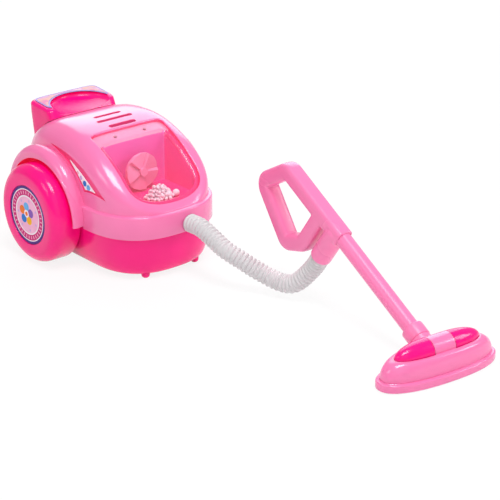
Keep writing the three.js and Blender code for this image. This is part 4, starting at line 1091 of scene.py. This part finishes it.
def barAlong(path, sections):
    # a bar mitred at its corners, its section given at each point as (half size, squareness)
    rings = []
    for i, (spot, (radius, n)) in enumerate(zip(path, sections)):
        before, after = max(i, 1), min(i + 1, len(path) - 1)
        behind = (path[before] - path[before - 1]).normalized()
        ahead = (path[after] - path[after - 1]).normalized()
        along = (ahead + behind).normalized()
        side = Vector((1, 0, 0))
        lift = side.cross(along) / along.dot(ahead)
        rings.append([
            spot + (side * power(c, n) + lift * power(s, n)) * radius for c, s in circle(grip["segments"])
        ])
    return loftRings(rings)


def bentPath(corners, radius, steps):
    # straight runs joined by arcs of one radius
    path = [corners[0]]
    for before, corner, after in zip(corners, corners[1:], corners[2:]):
        a, c = (before - corner).normalized(), (after - corner).normalized()
        half = a.angle(c) / 2
        middle = corner + (a + c).normalized() * (radius / sin(half))
        first = corner + a * (radius / tan(half)) - middle
        last = corner + c * (radius / tan(half)) - middle
        path += [middle + first.slerp(last, i / steps) * radius for i in range(steps + 1)]
    return path + [corners[-1]]


def gather(parts):
    whole = bmesh.new()
    for bm in parts:
        mesh = bpy.data.meshes.new("part")
        bm.to_mesh(mesh)
        bm.free()
        whole.from_mesh(mesh)
        bpy.data.meshes.remove(mesh)
    return whole


def makeWand():
    inner = wand["tubeRadius"] - wand["tubeWall"]
    ends = (-wand["foot"], wand["tubeLength"] + wand["plug"])
    outer, (low, high) = wand["tubeRadius"], ends
    profile = [(inner, low), (outer, low), (outer, high), (inner, high)]
    tube = turnBy(spinProfile(profile, 64), Matrix.Rotation(-pi / 2, 4, "X"))
    makePiece("wandTube", tube, wandPlace, "wand", wandPink, ["wand_tube"])

    def spot(pair):
        return Vector((0, *pair))

    start = spot((wand["tubeLength"], 0))
    toe, foot = spot(grip["toe"]), spot(grip["toeFoot"])
    corners = [start, spot(grip["tip"]), spot(grip["top"]), spot(grip["heel"]), toe, toe.lerp(foot, 0.5)]
    path = bentPath(corners, grip["bend"], grip["bendSteps"])
    path[1:1] = [spot((grip["mouthEnd"], 0)), spot((grip["blendEnd"], 0))]
    sections = [grip["mouth"]] * 2 + [grip["section"]] * (len(path) - 2)
    bars = [barAlong(path, sections), barAlong([toe.lerp(foot, 0.45), foot], [grip["section"]] * 2)]
    low, top = -hose["socketLength"], grip["socketTop"]
    radius, curve = grip["socketRadius"], grip["socketRound"]
    profile = [(0, low), *arc((radius - 0.5, low + 0.5), (0.5, 0.5), -90, 0, 4)]
    profile += [*arc((radius - curve, top - curve), (curve, curve), 0, 90, 8), (0, top)]
    lean = Matrix.Rotation(radians(hose["socketLean"]), 4, "X")
    stand = Matrix.Translation((0, hose["socketAlong"], 0)) @ lean
    bars.append(turnBy(spinProfile(profile, 64), stand))
    # bars and socket melt into one moulding
    piece = rawObject("wandGrip", gather(bars), gripPink)
    melt = piece.modifiers.new("melt", "REMESH")
    melt.mode = "VOXEL"
    melt.voxel_size = grip["voxel"]
    soften = piece.modifiers.new("soften", "SMOOTH")
    soften.iterations = grip["smoothing"]
    bpy.context.view_layer.update()
    bakeModifiers(piece)
    # painted shade: the hose socket's mouth takes the recess shade pink
    mouth = turnBy(rod((0, 0, low - 5), (0, 0, low + 6), hose["plugRadius"] + 0.3), stand)
    carve(piece, mouth, recessShadePink)
    ends = (0, wand["tubeLength"] - 5, 0), (0, wand["tubeLength"] + 8, 0)
    carve(piece, rod(*ends, wand["tubeRadius"] + 0.1), gripPink)
    dress(piece, wandPlace, "wand", gripPink, ["wand_grip"], sharp=50)
    print("wand ready")


makeWand()


# floor nozzle
nozzle = dict(
    halfLength=44.6, halfDepth=16.1, power=2.3, rimHeight=5.5, rimStep=2.6, edge=1.0, domeZ=17.0,
    taper=2.8, endTaper=11.0, soleProud=0.4, around=160,
    ridgeRadius=8.0, ridgeHalf=32.5, ridgeMiddle=8.0, ridgePower=3.0, seam=0.45,
    collarRadius=7.3, collarLength=9.0, collarBack=2.8, neckRadius=6.9, neckLength=11.0,
    tinyEdge=0.001,
)


def nozzleRing(z, inset, endInset=None):
    n, depth = nozzle["power"], nozzle["halfDepth"] - inset
    length = nozzle["halfLength"] - (inset if endInset is None else endInset)
    return [Vector((length * power(c, n), depth * power(s, n), z)) for c, s in circle(nozzle["around"])]


def ridgeSpin(margin, start, end):
    # a slice of the long rounded ridge
    radius, half = nozzle["ridgeRadius"] + margin, nozzle["ridgeHalf"] + margin
    spots = []
    for i in range(41):
        x = start + (end - start) * (1 - cos(pi * i / 40)) / 2
        share = min(1, abs(x) / half)
        spots.append((max(0.0, radius * sqrt(1 - share ** nozzle["ridgePower"])), x))
    bm = spinProfile([(0, start), *spots, (0, end)], 96)
    turnBy(bm, Matrix.Rotation(pi / 2, 4, "Y"))
    return turnBy(bm, Matrix.Translation((0, 0, nozzle["domeZ"])))


def makeNozzle():
    edge, rimZ, topZ = nozzle["edge"], nozzle["rimHeight"], nozzle["domeZ"]
    step, taper, endTaper = nozzle["rimStep"], nozzle["taper"], nozzle["endTaper"]
    low = nozzle["soleProud"]
    rings = [nozzleRing(low, 6), nozzleRing(low, edge / 2)]
    for angle in (30, 60, 90):
        a = radians(angle)
        rings.append(nozzleRing(low + edge * (1 - cos(a)), edge / 2 * (1 - sin(a))))
    for angle in (0, 30, 60, 90):
        a = radians(angle)
        rings.append(nozzleRing(rimZ - edge * (1 - sin(a)), edge * (1 - cos(a))))
    rings += [nozzleRing(rimZ + up, step - back) for up, back in ((-0.1, 0.4), (0.15, 0), (0.8, 0))]
    for i in range(1, 19):
        a = pi / 2 * i / 18
        z = rimZ + 0.8 + (topZ - rimZ - 0.8) * sin(a)
        share = 1 - cos(a)
        rings.append(nozzleRing(z, step + taper * share, step + endTaper * share))
    rings.append(nozzleRing(topZ, step + taper + 3, step + endTaper + 3))
    piece = rawObject("nozzleShell", loftRings(rings), lightPink)
    middle, half = nozzle["ridgeMiddle"], nozzle["ridgeHalf"]
    # painted shade: the grooves under the caps take the dark seam pink on their walls
    for start, end in ((-half - 0.3, -middle), (middle, half + 0.3)):
        carve(piece, ridgeSpin(0.3, start, end), seamShadePink)
    carve(piece, ridgeSpin(0, -middle, middle), lightPink, "UNION")
    # painted shade: thin dark rings stand in for the gaps between the caps and the middle
    seam = nozzle["seam"]
    for start in (-middle - seam, middle - 0.05):
        carve(piece, ridgeSpin(-0.08, start, start + seam + 0.05), seamShadePink, "UNION")
    dress(weld(piece, nozzle["tinyEdge"]), toolPlace, "nozzle", lightPink, ["nozzle_shell"])
    for start, end, hand in ((-half, -middle - seam, "Left"), (middle + seam, half, "Right")):
        makePiece(
            "nozzleCap" + hand, ridgeSpin(0, start, end), toolPlace, "nozzle", hotPink,
            ["nozzle_cap_" + hand.lower()],
        )
    reach = nozzle["collarLength"] + nozzle["neckLength"]
    bore, outer = wand["tubeRadius"] + 0.3, nozzle["collarRadius"]
    collar = [(bore, 0.0), *reversed(arc((outer - 0.8, -0.8), (0.8, 0.8), 0, 90, 4))]
    collar += arc((outer - 0.6, -nozzle["collarLength"] + 0.6), (0.6, 0.6), 0, -90, 4)
    neck = nozzle["neckRadius"]
    collar += [(neck, -nozzle["collarLength"]), (neck, -reach), (bore, -reach)]
    bm = turnBy(spinProfile(collar, 96), Matrix.Rotation(-pi / 2, 4, "X"))
    turnBy(bm, Matrix.Translation((0, -nozzle["collarBack"], 0)))
    makePiece("nozzleCollar", bm, wandPlace, "nozzle", wandPink)
    print("nozzle ready")


makeNozzle()


# what stays a plain solid gets its finish here
plainFinish = {
    "light_pink": lightPink, "hot_pink": hotPink, "label": handlePrint, "foam": foamWhite,
    "steel": platedSteel, "motor_can": platedSteel, "cell": darkPlastic, "dark_plastic": darkPlastic,
    "clear_window": windowClear, "hose_plastic": hoseWhite,
}
for row in frame["record"]["subparts"]:
    node = frame["nodes"][row["node"]]
    node.data.materials.clear()
    finish = rivetPink if "rivet" in row["node"] else plainFinish[row["material_slot"]]
    node.data.materials.append(finish)


# floor, light and world
studio = dict(
    floorHalf=3.0, floorShade=0.9, floorGlow=0.86, worldGlow=0.37,
    lamps=(
        ("topLamp", (-0.15, -0.3, 1.15), 0.45, 8.5),
        ("sideLamp", (0.95, -0.8, 0.7), 0.45, 5.0),
        ("leftLamp", (-1.0, 0.1, 0.8), 0.4, 2.0),
        ("softLamp", (-0.7, -1.1, 0.7), 1.2, 1.8),
        ("backLamp", (0.75, 0.85, 0.75), 1.1, 9.0),
    ),
)


def makeStudio():
    bm = bmesh.new()
    bmesh.ops.create_grid(bm, x_segments=2, y_segments=2, size=studio["floorHalf"])
    floor = rawObject("floor", bm)
    material = bpy.data.materials.new("paleFloor")
    material.use_nodes = True
    tree = material.node_tree
    tree.nodes.clear()
    ray = addNode(tree, "ShaderNodeLightPath").outputs
    seen = maths(tree, "MAXIMUM", ray["Is Camera Ray"], ray["Is Glossy Ray"])
    seen = maths(tree, "MAXIMUM", seen, ray["Is Transmission Ray"])
    share = maths(tree, "MULTIPLY", seen, studio["floorGlow"])
    matte = addNode(tree, "ShaderNodeBsdfDiffuse", {"Color": (*[studio["floorShade"]] * 3, 1)})
    glow = addNode(tree, "ShaderNodeEmission")
    mix = addNode(tree, "ShaderNodeMixShader", {"Fac": share, 1: matte.outputs[0], 2: glow.outputs[0]})
    addNode(tree, "ShaderNodeOutputMaterial", {"Surface": mix.outputs[0]})
    floor.data.materials.append(material)
    for name, spot, size, energy in studio["lamps"]:
        data = bpy.data.lights.new(name, "AREA")
        data.size = size
        data.energy = energy
        lamp = bpy.data.objects.new(name, data)
        lamp.location = spot
        lamp.rotation_euler = (Vector((0, 0, 0.04)) - Vector(spot)).to_track_quat("-Z", "Y").to_euler()
        bpy.context.scene.collection.objects.link(lamp)
    world = bpy.data.worlds.new("studio")
    bpy.context.scene.world = world
    world.use_nodes = True
    tree = world.node_tree
    ray = addNode(tree, "ShaderNodeLightPath").outputs
    seen = maths(tree, "MAXIMUM", ray["Is Camera Ray"], ray["Is Transmission Ray"])
    level = spread(tree, seen, studio["worldGlow"], 1.0)
    feed(tree.nodes["Background"], {"Color": (1, 1, 1, 1), "Strength": level})
    bpy.context.scene.view_settings.view_transform = "Standard"
    print("studio ready")


makeStudio()
